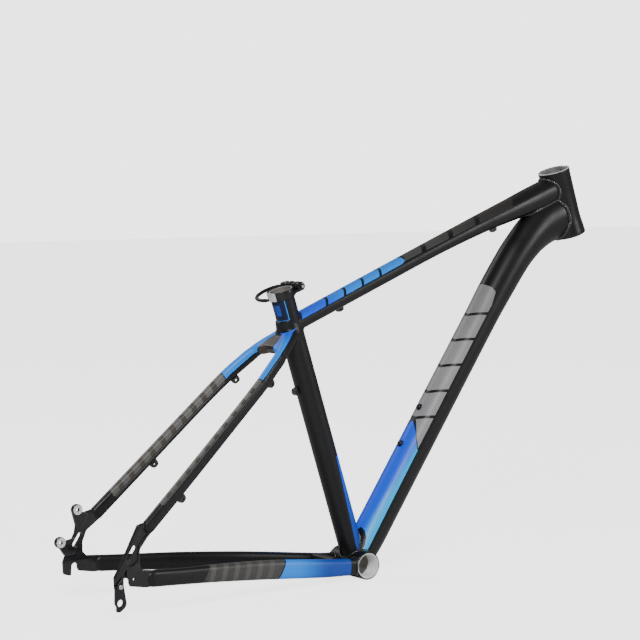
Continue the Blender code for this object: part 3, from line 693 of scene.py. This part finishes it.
def seat_stay_layers():
    edge = 4.2
    starts = range(70, 275, 22)
    # The first block is blue paint on the stays' top faces near the yoke, laid in the lighter sky blue
    # as a painted highlight of the lit top.
    return [([(-25, edge), (-25, 22), (48, 22), (52, edge)], SKY_BLUE),
            ([(53.5, edge), (49.5, 22), (284, 22), (290, edge)], STAY_GREY,
             shaded(STAY_GREY, 0.75), (60, 5), (280, 5)),
            ([(56, edge - 2.2), (56, edge - 1.4), (288, edge - 1.4), (288, edge - 2.2)],
             STAY_GREY),
            *slashes(starts, edge, 22, -6, 9, STAY_DARK)]


def arm_layers(first, second):
    # The sky blue at the arms' back ends, where they run into the stays, carries on the stays' painted
    # highlight; forwards it grades into the arms' blue paint.
    return [([(-20, 4.2), (-20, 40), (76, 40), (72, 5)], first, second, (25, 0), (70, 0))]


WEB_LEFT = [([(22, -11.5), (68, -4.2), (74, -60), (14, -60)], NAVY),
            ([(24.5, -13), (66, -6.4), (66, -60), (20, -60)], TAUPE, shaded(TAUPE, 0.35),
             (30, -14), (52, -26))]
WEB_RIGHT = [([(28, -21.5), (76, -1.9), (76, -60), (28, -60)], NAVY),
             ([(28, -23), (76, -3.4), (76, -60), (28, -60)], shaded(TAUPE, 0.35))]


CHAIN_LAYERS = [
    ([(21, 14), (21, -14), (157, -14), (145, 14)], DEEP_BLUE, SKY_BLUE, (60, 0), (130, 0)),
    ([(147, 14), (159.5, -14), (299, -9), (287, 14)], DARK_GREY,
     shaded(DARK_GREY, 0.8), (160, 0), (280, 0)),
    *slashes(range(172, 286, 22), -14, 14, -6, 9, shaded(DARK_GREY, 1.45))]


# Blocks by level and by distance round the tube from its back line.
SEAT_LAYERS = [
    ([(176, 60), (170, 35), (30, 26), (8, 26), (8, 60)], BLUE, DEEP_BLUE, (165, 40), (40, 30)),
    ([(389.5, -3), (389.5, 19.5), (422, 19.5), (422, -3)], SKY_BLUE),
    ([(390.8, -3), (390.8, 18.2), (422, 18.2), (422, -3)], NAVY),
    ([(398, -3), (398, 10), (414, 10), (414, -3)], DEEP_BLUE)]


PAINTS = {
    "plain": paint("frame_black"),
    "top": paint("frame_top_tube", 0.7, TOP_LAYERS),
    "down": paint("frame_down_tube", 0.5, down_tube_layers()),
    "seat": paint("frame_seat_tube", 0.0, SEAT_LAYERS),
    "stay": paint("frame_seat_stay", 0.64, seat_stay_layers()),
    "arm_left": paint("frame_yoke_left", 0.64, arm_layers(SKY_BLUE, ARM_BLUE), WEB_LEFT),
    "arm_right": paint("frame_yoke_right", 0.64, arm_layers(SKY_BLUE, BLUE), WEB_RIGHT),
    "chain": paint("frame_chainstay", 0.0, CHAIN_LAYERS),
    "seam": seam_paint("frame_weld"),
    "bare": metal("machined_face", (0.90, 0.90, 0.89), 0.42, 0.1, metallic=0.35),
    "bore": metal("machined_bore", (0.86, 0.86, 0.85), 0.5, 0.1, metallic=0.25),
    "anodised": metal("black_anodised", (0.030, 0.030, 0.034), 0.26, 0.05, metallic=0.7),
    "head_bore": metal("reamed_bore", (0.86, 0.86, 0.85), 0.3, 0.0, metallic=0.92),
    "gloss": metal("gloss_black", (0.016, 0.016, 0.018), 0.16, 0.0, metallic=0.2),
    # Darker grey for the bores: the unmachined middle of the shell and the inside of the seat tube,
    # darkened as painted shade deep inside them.
    "raw_bore_and_shade": metal("raw_bore_painted_shade", (0.34, 0.32, 0.30), 0.5, 0.0, metallic=0.4),
    "steel": metal("zinc_steel", (0.60, 0.60, 0.58), 0.28, 0.1),
    "brass": metal("brass", (0.62, 0.43, 0.17), 0.32, 0.1),
    "plastic": plastic("guide_plastic", (0.012, 0.012, 0.013), 0.42),
}


# ---- cutting ----

def apply_modifiers(item):
    graph = bpy.context.evaluated_depsgraph_get()
    mesh = bpy.data.meshes.new_from_object(item.evaluated_get(graph))
    item.modifiers.clear()
    old = item.data
    item.data = mesh
    bpy.data.meshes.remove(old)


def discard(item):
    mesh = item.data
    bpy.data.objects.remove(item)
    bpy.data.meshes.remove(mesh)


def take_mesh(item):
    """The object's mesh as a bmesh; the object goes."""
    work = bmesh.new()
    work.from_mesh(item.data)
    discard(item)
    return work


def combine(work, tools, operation="DIFFERENCE"):
    item = mesh_object("working", work)
    for tool in tools:
        other = mesh_object("tool", tool)
        modifier = item.modifiers.new("cut", "BOOLEAN")
        modifier.operation = operation
        modifier.object = other
        modifier.solver = "EXACT"
        apply_modifiers(item)
        discard(other)
    return take_mesh(item)


def rod(radius, low, high, base, axis, steps=96):
    return lathe_into(bmesh.new(), [(0, low), (radius, low), (radius, high), (0, high)],
                      base, axis, steps)


def block(size, matrix):
    work = bmesh.new()
    bmesh.ops.create_cube(work, size=1.0)
    work.transform(matrix @ Matrix.Diagonal((*[s * MM for s in size], 1)))
    return work


ORIGIN = Vector((0, 0, 0))


def head_core():
    return rod(24.0, -20, HEAD_LENGTH + 20, HEAD_FOOT, HEAD_AXIS)


def shell_core():
    return rod(20.0, -60, 60, ORIGIN, SIDE)


def seat_core(radius=16.7, low=200, high=480):
    return rod(radius, low, high, SEAT_FOOT, SEAT_AXIS)


# ---- main triangle ----

TOP = Tube(TOP_TUBE, TOP_POWER)
DOWN = Tube(DOWN_TUBE, ROUND_POWER)
SEAT = Tube([(*(seat_point(level) / MM), SEAT_RADIUS, SEAT_RADIUS) for level in (0, 60, 200)],
            ROUND_POWER)
STAYS = both_sides(SEAT_STAY)
CHAINS = both_sides(CHAINSTAY)
HEAD_SKIN = cylinder_outside(HEAD_FOOT, HEAD_AXIS, HEAD_RADIUS)
SHELL_SKIN = cylinder_outside(ORIGIN, SIDE, BB_RADIUS)
SEAT_SKIN = cylinder_outside(SEAT_FOOT, SEAT_AXIS, SEAT_RADIUS)


def make_head_tube():
    long = HEAD_LENGTH
    outer = [(HEAD_FLARE - 0.7, 0), (HEAD_FLARE, 0.7), (HEAD_FLARE, 4.6),
             (HEAD_FLARE - 0.3, 6.5), (26.2, 15), (25.4, 22), (25.0, 27),
             (HEAD_RADIUS, 33), (HEAD_RADIUS, long - 7), (25.2, long - 5.2),
             (25.3, long - 4.2), (25.3, long - 0.6, 2), (24.7, long, 2)]
    inner = [(HEAD_BORE + 0.5, long, 1), (HEAD_BORE, long - 0.5, 1), (HEAD_BORE, long - 14, 1),
             (22.8, long - 15, 1), (22.8, 15, 1), (HEAD_BORE, 14, 1), (HEAD_BORE, 0.5, 1),
             (HEAD_BORE + 0.5, 0, 1)]
    lathe("head_tube_skin", outer + inner, HEAD_FOOT, HEAD_AXIS,
          ["plain", "head_bore", "bare"], steps=128, replaces=["head_tube"])


def make_shell():
    end, flat = BB_HALF, 0.6
    profile = [(BB_RADIUS, -end + flat, 0), (BB_RADIUS, end - flat, 0),
               (BB_RADIUS - flat, end, 0), (BB_THREAD + 1.5, end, 1),
               (BB_THREAD + 1.1, end - 0.3, 1), (BB_THREAD + 0.6, end - 0.4, 2)]
    turns, pitch = 22, 1.06
    for i in range(turns):
        top = end - 0.5 - pitch * i
        profile += [(BB_THREAD - 0.02, top, 2), (BB_THREAD + 0.32, top - pitch / 2, 2)]
    # Past the threads the bore takes the darker grey: its unmachined metal, darkened further as
    # painted shade inside the shell.
    profile += [(BB_THREAD, end - 24, 3), (18.5, end - 25, 3), (18.5, 25 - end, 3),
                (BB_THREAD, 24 - end, 2)]
    for i in reversed(range(turns)):
        top = 0.5 + pitch * i - end
        profile += [(BB_THREAD + 0.32, top + pitch / 2, 2), (BB_THREAD - 0.02, top, 2)]
    profile += [(BB_THREAD + 0.6, 0.4 - end, 1), (BB_THREAD + 1.1, 0.3 - end, 1),
                (BB_THREAD + 1.5, -end, 0), (BB_RADIUS - flat, -end, 0)]
    lathe("bottom_bracket", profile, ORIGIN, SIDE,
          ["plain", "bare", "bore", "raw_bore_and_shade"], steps=128,
          replaces=["bottom_bracket_shell"], sharp=25)


def make_seat_tube():
    top = SEAT_LENGTH
    outer = [(SEAT_RADIUS, 4 + 8.5 * i, 0) for i in range(50)]
    # The inside of the tube takes the darker grey as painted shade down the bore.
    profile = outer + [(SEAT_RADIUS, top - 0.4, 1), (SEAT_RADIUS - 0.4, top, 1),
                       (SEAT_BORE + 0.3, top, 2), (SEAT_BORE, top - 0.3, 2), (SEAT_BORE, 4, 2)]
    work = lathe_into(bmesh.new(), profile, SEAT_FOOT, SEAT_AXIS, 96)
    slit = clamp_matrix(top - 15, -SEAT_RADIUS)
    work = combine(work, [shell_core(), block((8, 3, 44), slit)])
    layer = work.verts.layers.float_vector.new("tube")
    for vert in work.verts:
        offset = (vert.co - SEAT_FOOT) / MM
        forward, level = offset.dot(SEAT_FORWARD), offset.dot(SEAT_AXIS)
        # Height counts forwards from the tube's back line, the same way round on both sides.
        vert[layer] = (level, 0, SEAT_RADIUS * abs(math.atan2(offset.y, -forward)))
    finish_mesh("seat_tube_skin", work, ["seat", "bare", "raw_bore_and_shade"],
                replaces=["seat_tube"])


def make_main_tubes():
    for name, tube, sides, core, look in (("top_tube", TOP, 72, seat_core, "top"),
                                          ("down_tube", DOWN, 80, shell_core, "down")):
        work = combine(tube.mesh(sides), [core(), head_core()])
        finish_mesh(name + "_skin", work, [look], slot="blue_paint", replaces=[name])


def boss_frame():
    start = Vector(DOWN_TUBE[3][:3]) * MM
    along = (Vector(DOWN_TUBE[5][:3]) * MM - start).normalized()
    normal = Vector((-along.z, 0, along.x))
    return [start + (along * (87 + 64 * i) + normal * 25.1) * MM for i in range(2)], normal


def hexed(socket_radius):
    """Turns the points of one radius into a six-sided socket."""
    def radial(radius, angle):
        if abs(radius - socket_radius) > 1e-6:
            return radius
        within = (angle + pi / 6) % (pi / 3) - pi / 6
        return radius * cos(pi / 6) / cos(within)
    return radial


def make_bottle_bosses():
    spots, normal = boss_frame()
    for label, spot in zip(("lower", "upper"), spots):
        collar = [(2.7, -8), (3.7, -8), (3.7, 0.3), (5.2, 0.3), (5.4, 0.6),
                  (5.3, 1.2), (5.0, 1.4), (2.7, 1.4)]
        lathe("boss_" + label, collar, spot, normal, ["anodised"], steps=48,
              slot="black_anodised", replaces=["bottle_insert_" + label])
        screw = [(0, -6.5), (2.1, -6.5), (2.2, 1.7), (4.5, 1.75), (4.6, 2.3),
                 (4.3, 3.2), (3.5, 3.9), (2.6, 4.15), (1.95, 4.15), (1.9, 4.0),
                 (1.9, 2.7), (0, 2.5)]
        lathe("cage_screw_" + label, screw, spot, normal, ["anodised"], steps=48,
              radial=hexed(1.9), slot="black_anodised", replaces=["bottle_screw_" + label])


# ---- rear triangle ----

def yoke_matrix():
    rear = Vector((-164.4, 0, 312.2)) * MM
    along = (Vector((-125, 0, 343)) * MM - rear).normalized()
    return Matrix.Translation(rear) @ Matrix((along, SIDE, along.cross(SIDE))).transposed().to_4x4()


ARM = [
    (-168, 41.5, 308.0, 7.4, 9.4), (-158, 37.2, 316.4, 7.8, 9.4), (-148, 32.2, 325.0, 8.4, 9.3),
    (-137, 25.0, 333.6, 9.2, 9.1), (-126, 16.5, 341.5, 9.8, 8.8), (-112, 8.0, 350.0, 9.8, 8.4)]
ARMS = both_sides(ARM)


VOXEL = 0.0009
FILLET_REACH = 9.0
FILLET_ROUNDS = 70
PAINT_LEVEL = 376.5
PAINT_SLOPE = 0.18


def voxel_union(works, size):
    """One closed skin round overlapping solids."""
    item = mesh_object("union", joined(*works))
    modifier = item.modifiers.new("skin", "REMESH")
    modifier.mode = "VOXEL"
    modifier.voxel_size = size
    apply_modifiers(item)
    return take_mesh(item)


def smooth(work, verts, rounds):
    for _ in range(rounds):
        bmesh.ops.smooth_vert(work, verts=verts, factor=0.5, use_axis_x=True, use_axis_y=True,
                              use_axis_z=True)


def soften(work, skins, reach, rounds):
    """Smooths the valleys where two of the given surfaces meet."""
    near = [v for v in work.verts if sum(abs(skin(v.co)) < reach for skin in skins) > 1]
    smooth(work, near, rounds)


def make_junction():
    """The yoke, the roots of the tubes round it and the filed fillets between them."""
    web_shape = [(19.5, 10, 9), (13, 26, 5), (4, 35, 2), (12, 38, 4), (30, 28, 6), (52, 17, 4)]
    corners = [(x, -y, r) for x, y, r in web_shape] + [(x, y, r) for x, y, r in reversed(web_shape)]
    web = plate_mesh([rounded(corners, 8)], 15.0, yoke_matrix(), bevel=4.0, segments=4)
    neck = rod(SEAT_RADIUS - 0.12, 322, 416, SEAT_FOOT, SEAT_AXIS, 96)
    root = Tube([(x, y, z, w - 0.12, d - 0.12) for x, y, z, w, d in TOP_TUBE[:2]], TOP_POWER)
    flare = [(0, 354), (18.0, 354), (20.4, 362), (20.2, 368), (18.8, 375), (17.6, 382), (16.6, 389),
             (0, 389)]
    collar = lathe_into(bmesh.new(), flare,
                        SEAT_FOOT - SEAT_FORWARD * 3.2 * MM, SEAT_AXIS, 96)
    works = [web, neck, collar, root.mesh(72)]
    works += [arm.mesh(40) for arm in ARMS.values()]
    work = voxel_union(works, VOXEL)

    def flat(point):
        local = yoke_matrix().inverted() @ point
        return (abs(local.z) / MM - 7.5) if 0.010 < local.x < 0.05 else 99

    def seat(point):
        return SEAT_SKIN(point) * SEAT_RADIUS

    def arm(point):
        return min(tube.outside(point) for tube in ARMS.values()) * 4.0

    def root_skin(point):
        return root.outside(point) * 6.0 if point.x > -0.112 else 99
    smooth(work, work.verts, 1)
    soften(work, [flat, seat, arm, root_skin], FILLET_REACH, FILLET_ROUNDS)
    work = combine(work, [seat_core(16.8, 250, 440)])
    layer = work.verts.layers.float_vector.new("tube")
    for vert in work.verts:
        along, outward, rise = ARMS["left" if vert.co.y >= 0 else "right"].local(vert.co)[:3]
        offset = (vert.co - SEAT_FOOT) / MM
        # The paint ends on a line round the neck: above it the height falls off steeply.
        level, forward = offset.dot(SEAT_AXIS), offset.dot(SEAT_FORWARD)
        around = math.hypot(forward, offset.y)
        over = max(level - PAINT_LEVEL - PAINT_SLOPE * forward, 0) * min(max((25 - around) / 4, 0), 1)
        vert[layer] = (along, outward + 9 * over, rise - 6 * over)
    for face in work.faces:
        face.material_index = 0 if face.calc_center_median().y > 0 else 1
    finish_mesh("yoke_skin", work, ["arm_left", "arm_right"], slot="blue_paint",
                replaces=["seat_stay_yoke"], sharp=70)


def make_stays():
    trim = yoke_matrix() @ Matrix.Translation((25 * MM, 0, 0))
    for label in ("left", "right"):
        work = combine(STAYS[label].mesh(40), [block((40, 120, 60), trim)])
        finish_mesh("seat_stay_skin_" + label, work, ["stay"],
                    slot="grey_paint", replaces=["seat_stay_" + label])
        work = combine(CHAINS[label].mesh(40), [shell_core()])
        layer = work.verts.layers.float_vector["tube"]
        for face in work.faces:
            face.material_index = int(sum(vert[layer].y for vert in face.verts) < -8)
        finish_mesh("chainstay_skin_" + label, work, ["chain", "plain"],
                    replaces=["chainstay_" + label])
    bridge = [(5.5, -24), (7.5, -24), (7.5, 24), (5.5, 24)]
    lathe("bridge_skin", bridge, Vector((-52, 0, 9)) * MM, SIDE, ["plain"], steps=48,
          replaces=["chainstay_bridge"])


def make_caps():
    """The stays' rounded, closed ends, which are slotted over the dropouts."""
    steps, sides = 8, 40
    for kind, tubes, reach in (("chainstay", CHAINS, 12), ("seat_stay", STAYS, 9)):
        for label, tube in tubes.items():
            last = len(tube.centres) - 1
            centre = tube.centres[last]
            ahead = (centre - tube.centres[last - 1]).normalized() * reach * MM
            edge = [tube.surface(last, angle) for angle in ring_angles(sides)]
            work = bmesh.new()
            rings = []
            for step in range(steps):
                turn = pi / 2 * step / steps
                rings.append([work.verts.new(centre + (p - centre) * cos(turn) + ahead * sin(turn))
                              for p in edge])
            tip = work.verts.new(centre + ahead)
            work.faces.new(rings[0])
            for low, high in zip(rings, rings[1:]):
                add_band(work, low, high)
            for k in range(sides):
                work.faces.new((rings[-1][k], rings[-1][(k + 1) % sides], tip))
            finish_mesh("%s_cap_%s" % (kind, label), work, ["plain"], sharp=60)


# Side outlines measured from the axle: x, z, corner radius (mm).
FOOT = [(7.5, -7, 3), (30, -10.8, 3), (42, -10.8, 1), (42, 11.6, 1)]
HEAD = [(42.4, 65.4, 1), (30.2, 77.8, 1)]
STRUT_FRONT = {"left": [(19, 13.5, 4), (12.7, 20, 4), (12.7, 34, 9), (19, 49, 8)],
               "right": [(25, 13.5, 6), (21.6, 22, 6), (21.6, 42, 9), (33.5, 57, 8)]}
STRUT_REAR = {"left": [(17, 75, 4), (-8, 30.5, 8)], "right": [(19.2, 75.4, 4), (-4.2, 30.5, 8)]}
PRONG = [(-17.8, 7.5, 5), (-16.8, -10.2, 4), (-6, -12.6, 1.5), (-5.2, -2, 0)]
WINDOWS = {"left": ((-1.5, 32), (6.5, 44), 4.8), "right": ((4.5, 32), (13, 45), 3.4)}
POCKET = [(-0.2, 26, 2), (20.6, 67.6, 4), (27, 71.5, 3), (34.8, 64.2, 3), (19.4, 46, 6), (18.0, 27, 4),
          (13, 21, 4), (2, 20, 3)]
WHEEL_SLOT = 5.2
DROPOUT_INNER = 67.5
DROPOUT_THICK = 6.5
TAB_MIDDLE = 66.2
BRAKE_HOLES = [(2.5, 80.1), (-24.4, 36.5)]
HANGER = [(-18.0, -6, 6), (-18.3, -28, 5), (-15.4, -33, 1.5), (-15.8, -38.8, 1.5), (-11.3, -39.6, 4),
          (-0.4, -31.6, 9), (-3.2, -16, 8), (-5.6, -2, 5), (-5.4, 9.4, 1.5), (-15.3, -1.4, 1)]
HANGER_SCREW = (-10.6, -5.0)


def dropout_outline(label):
    slot_end = [Vector((-WHEEL_SLOT * cos(a), WHEEL_SLOT * sin(a)))
                for a in (pi * i / 20 for i in range(21))]
    corners = FOOT + STRUT_FRONT[label] + HEAD + STRUT_REAR[label] + PRONG
    return rounded(corners, 10) + slot_end + [Vector((WHEEL_SLOT, -2.5))]


def make_dropouts():
    middle = DROPOUT_INNER + DROPOUT_THICK / 2
    start, end, radius = WINDOWS["left"]
    window = slot_outline(start, end, radius)
    plate = plate_mesh([dropout_outline("left")], DROPOUT_THICK, side_matrix(middle), 1.1, 4)
    upper, lower = BRAKE_HOLES
    corners = arc(upper, 7.9, -22, 195, 40) + [(0.5, 58, 8), (-2.5, 40.5, 4)]
    corners += arc(lower, 7.9, 10, 262, 44) + [(-17, 16.5, 4), (-2.5, 18, 3), (12, 54, 3), (22, 72, 2)]
    holes = [circle(*centre, 3.1, 40) for centre in BRAKE_HOLES]
    tab = plate_mesh([rounded(corners, 10)] + holes, 6.8, side_matrix(TAB_MIDDLE), 0.9, 4)
    tool = [plate_mesh([window], 30, side_matrix(TAB_MIDDLE), 0.01, 0) for _ in range(2)]
    work = joined(combine(plate, tool[:1]), combine(tab, tool[1:]))
    for face in work.faces:
        face.material_index = 0
    for centre in BRAKE_HOLES:
        pad = [(3.1, 62.0, 1), (6.7, 62.0, 1), (7.0, 62.3, 0), (7.0, 64, 0), (3.1, 64, 1)]
        lathe_into(work, pad, from_axle(*centre), SIDE, 48)
    finish_mesh("dropout_skin_left", work, ["gloss", "bare"],
                replaces=["dropout_left"], sharp=32)
    start, end, radius = WINDOWS["right"]
    pocket = plate_mesh([rounded(POCKET, 8)], 5, side_matrix(-middle - DROPOUT_THICK / 2), 0.1, 1)
    holes = [slot_outline(start, end, radius), circle(12.5, 2.4, 2.0, 32)]
    plate = plate_mesh([dropout_outline("right")] + holes, DROPOUT_THICK,
                       side_matrix(-middle), 1.5, 4)
    lap = plate_mesh([[Vector(c) for c in ((-24, -9), (0.5, 17.4), (0.5, -20), (-24, -20))]], 8,
                     side_matrix(-74.7), 0.01, 0)
    hole = rod(2.4, -80, -60, from_axle(*HANGER_SCREW), SIDE, 32)
    finish_mesh("dropout_skin_right", combine(plate, [lap, hole, pocket]), ["gloss"],
                replaces=["dropout_right"], sharp=32)
    holes = [circle(-10.5, -27.2, 4.9, 48), circle(*HANGER_SCREW, 2.5, 32)]
    hanger = plate_mesh([rounded(HANGER, 12)] + holes, 5.6, side_matrix(-73.8), 0.8, 4)
    finish_mesh("hanger_skin", hanger, ["anodised"], slot="black_anodised",
                replaces=["derailleur_hanger"], sharp=32)
    screw = [(0, -6.3), (2.1, -6.3), (2.1, 0.02), (3.4, 0.05), (3.6, 0.4),
             (3.3, 1.2), (2.8, 1.75), (2.1, 2.0), (1.55, 2.0), (1.5, 1.9),
             (1.5, 0.9), (0, 0.8)]
    lathe("hanger_bolt", screw, from_axle(*HANGER_SCREW, -76.9), -SIDE, ["steel"],
          steps=48, radial=hexed(1.5), slot="steel", replaces=["hanger_screw"])


# ---- seat clamp ----

EAR = 11.5
SKEWER_LEVEL = 430.5
SKEWER_FORWARD = 23.5
LEVER_RADIUS = 36
GRIP_RADIUS = 2.7


def make_clamp():
    inner, outer, slit, front = 17.75, 20.7, 1.5, SKEWER_FORWARD + 6
    start = math.asin(slit / inner)
    loop = part_circle(inner, start, 2 * pi - 2 * start)
    loop += [Vector((front - 2, -slit)), Vector((front - 2, 1 - EAR))]
    join = math.asin((EAR - 1) / outer)
    loop += part_circle(outer, 2 * pi - join, 2 * join - 2 * pi)
    loop += [Vector((front - 2, EAR - 1)), Vector((front - 2, slit))]
    ring = plate_mesh([loop], 12, clamp_matrix(427), 0.6, 3)
    ears = []
    for low, high in ((slit, EAR), (-EAR, -slit)):
        corners = [(inner + 0.8, low, 1), (front, low, 2.5), (front, high, 2.5),
                   (inner + 0.8, high, 1)]
        ears.append(plate_mesh([rounded(corners, 8)], 10.4, clamp_matrix(SKEWER_LEVEL), 0.9, 3))
    spot = seat_point(SKEWER_LEVEL, SKEWER_FORWARD)
    drill = rod(2.5, -20, 20, spot, SIDE, 40)
    work = combine(combine(ring, ears, "UNION"), [drill])
    turned = clamp_matrix(SKEWER_LEVEL).inverted()
    # The back of the collar gets bright machined metal: a painted reflection of a lamp along the back
    # edge of the black anodised collar.
    for face in work.faces:
        spot_in = turned @ face.calc_center_median()
        face.material_index = int(spot_in.x < -0.0175)
    finish_mesh("clamp_collar_skin", work, ["anodised", "bare"], CLAMP_BODY,
                "black_anodised", ["clamp_collar"], sharp=32)
    low = EAR + 1.6

    def knurled(radius, angle):
        return radius - 0.28 * (radius == 6.8) * (sin(angle * 20) > 0)

    nut = [(2.5, low), (6.2, low), (6.5, low + 0.4), (6.5, low + 0.9),
           (6.8, low + 1.1), (6.8, low + 6.3), (6.5, low + 6.6), (6.0, low + 8.0),
           (4.6, low + 8.6), (3.2, low + 8.6), (2.9, low + 8.2), (2.5, low + 8.0)]
    lathe("adjusting_nut_skin", nut, spot, -SIDE, ["anodised"], steps=160,
          radial=knurled, body=NUT_BODY, slot="black_anodised", replaces=["clamp_nut"])


def make_lever_grip():
    first, last = (radians(a) for a in (66, 203))
    points = []
    for i in range(61):
        share = i / 60
        angle = first + (last - first) * share
        points.append(seat_point(SKEWER_LEVEL - 1.5 * share, LEVER_RADIUS * cos(angle),
                                 LEVER_RADIUS * sin(angle)))
    work = sweep(points, GRIP_RADIUS, False, sides=20)
    finish_mesh("lever_grip", work, ["anodised"], LEVER_BODY, "black_anodised", sharp=60)


def dress(node, made):
    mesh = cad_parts[node].data
    mesh.materials.clear()
    mesh.materials.append(made)
    for face in mesh.polygons:
        face.material_index = 0
        face.use_smooth = True
    mesh.set_sharp_from_angle(angle=radians(32))


def dress_cad():
    kept = {"clamp_skewer": "steel", "lever_pivot_pin": "steel", "clamp_washer": "brass",
            "cam_saddle": "anodised", "quick_release_lever": "anodised",
            "top_tube_guide_rear": "plastic", "top_tube_guide_front": "plastic",
            "seat_tube_guide": "plastic"}
    for side in ("left", "right"):
        for level in ("upper", "lower"):
            kept["stay_guide_%s_%s" % (side, level)] = "plastic"
    for node, look in kept.items():
        dress(node, PAINTS[look])


# ---- welded seams ----

HEAD_BEAD = 3.2
HEAD_RIPPLE = 0.09


def make_welds():
    end = len(TOP.centres) - 1
    weld("weld_top_tube_head", meeting_line(TOP, [HEAD_SKIN, DOWN.outside], end - 14, end),
         HEAD_BEAD, ripple=HEAD_RIPPLE)
    end = len(DOWN.centres) - 1
    weld("weld_down_tube_head", meeting_line(DOWN, [HEAD_SKIN], end - 14, end), HEAD_BEAD,
         ripple=HEAD_RIPPLE)
    weld("weld_down_tube_shell", meeting_line(DOWN, [SHELL_SKIN], 26, 0), 2.0)
    weld("weld_seat_tube_shell", meeting_line(SEAT, [SHELL_SKIN, DOWN.outside], 14, 0), 1.9)
    for label in ("left", "right"):
        line = meeting_line(CHAINS[label], [SHELL_SKIN], 24, 0, 48)
        weld("weld_chainstay_shell_" + label, line, 1.7)


# ---- stage ----

FLOOR_GLOW = 2.5
WORLD_LIGHT = 0.26
WORLD_SEEN = 3.2
# Name, place and target (m), size (m) and power (W).
LIGHTS = [("key", (-1.9, -2.4, 2.3), (0, 0, 0.25), 1.2, 92),
          ("fill", (2.2, -2.6, 1.2), (0.1, 0, 0.3), 0.9, 34),
          ("rim", (-0.6, 2.2, 2.0), (0, 0, 0.3), 1.2, 12)]


def make_stage():
    work = bmesh.new()
    bmesh.ops.create_grid(work, x_segments=2, y_segments=2, size=12)
    work.transform(Matrix.Translation((0, 0, CAD_BOX[0][2] - 0.0004)))
    mesh = bpy.data.meshes.new("floor")
    work.to_mesh(mesh)
    work.free()
    n = Nodes("studio_floor")
    n.link(n.mix(n.noise(3.0, 2.0), (0.86, 0.86, 0.86), (0.90, 0.90, 0.90)), "Base Color")
    n.shader.inputs["Roughness"].default_value = 0.5
    n.shader.inputs["Emission Color"].default_value = (1, 1, 1, 1)
    seen = n.add("ShaderNodeLightPath").outputs["Is Camera Ray"]
    n.link(n.math("MULTIPLY", seen, FLOOR_GLOW), "Emission Strength")
    mesh.materials.append(n.made)
    floor = link_object("floor", mesh)
    world = bpy.data.worlds.new("studio")
    bpy.context.scene.world = world
    world.use_nodes = True
    tree = world.node_tree
    seen = tree.nodes.new("ShaderNodeLightPath").outputs["Is Camera Ray"]
    strength = tree.nodes.new("ShaderNodeMapRange")
    strength.inputs["To Min"].default_value = WORLD_LIGHT
    strength.inputs["To Max"].default_value = WORLD_SEEN
    tree.links.new(seen, strength.inputs["Value"])
    background = tree.nodes["Background"]
    background.inputs["Color"].default_value = (1, 1, 1, 1)
    tree.links.new(strength.outputs["Result"], background.inputs["Strength"])
    for light in LIGHTS:
        area_light(*light)


def area_light(name, place, target, size, power):
    lamp = bpy.data.lights.new(name, "AREA")
    lamp.shape = "DISK"
    lamp.size = size
    lamp.energy = power
    item = link_object(name, lamp)
    item.location = place
    item.rotation_euler = (Vector(target) - Vector(place)).to_track_quat("-Z", "Y").to_euler()


# Yaw, pitch and roll (degrees); sensor width and focal length (mm); shift as a share of the width.
CAMERA_ANGLES = (35.9, 4.11, -0.09)
CAMERA_PLACE = Vector((-1.89367, -2.56927, 0.59983))
SENSOR = 36
FOCAL_LENGTH = 121.73
LENS_SHIFT = (-0.0232, -0.0089)


def make_camera():
    yaw, pitch, roll = (radians(angle) for angle in CAMERA_ANGLES)
    ahead = Vector((sin(yaw) * cos(pitch), cos(yaw) * cos(pitch),
                    -sin(pitch)))
    right = Vector((cos(yaw), -sin(yaw), 0))
    above = right.cross(ahead)
    turned_right = right * cos(roll) + above * sin(roll)
    turned_up = above * cos(roll) - right * sin(roll)
    lens = bpy.data.cameras.new("photo_view")
    lens.sensor_width = SENSOR
    lens.lens = FOCAL_LENGTH
    lens.shift_x, lens.shift_y = LENS_SHIFT
    camera = link_object("photo_view", lens)
    axes = Matrix((turned_right, turned_up, -ahead)).transposed().to_4x4()
    camera.matrix_world = Matrix.Translation(CAMERA_PLACE) @ axes
    bpy.context.scene.camera = camera


for make in (make_head_tube, make_shell, make_seat_tube, make_main_tubes,
             make_bottle_bosses, make_junction, make_stays, make_caps, make_dropouts, make_clamp,
             make_lever_grip, dress_cad, make_welds, make_stage, make_camera):
    make()
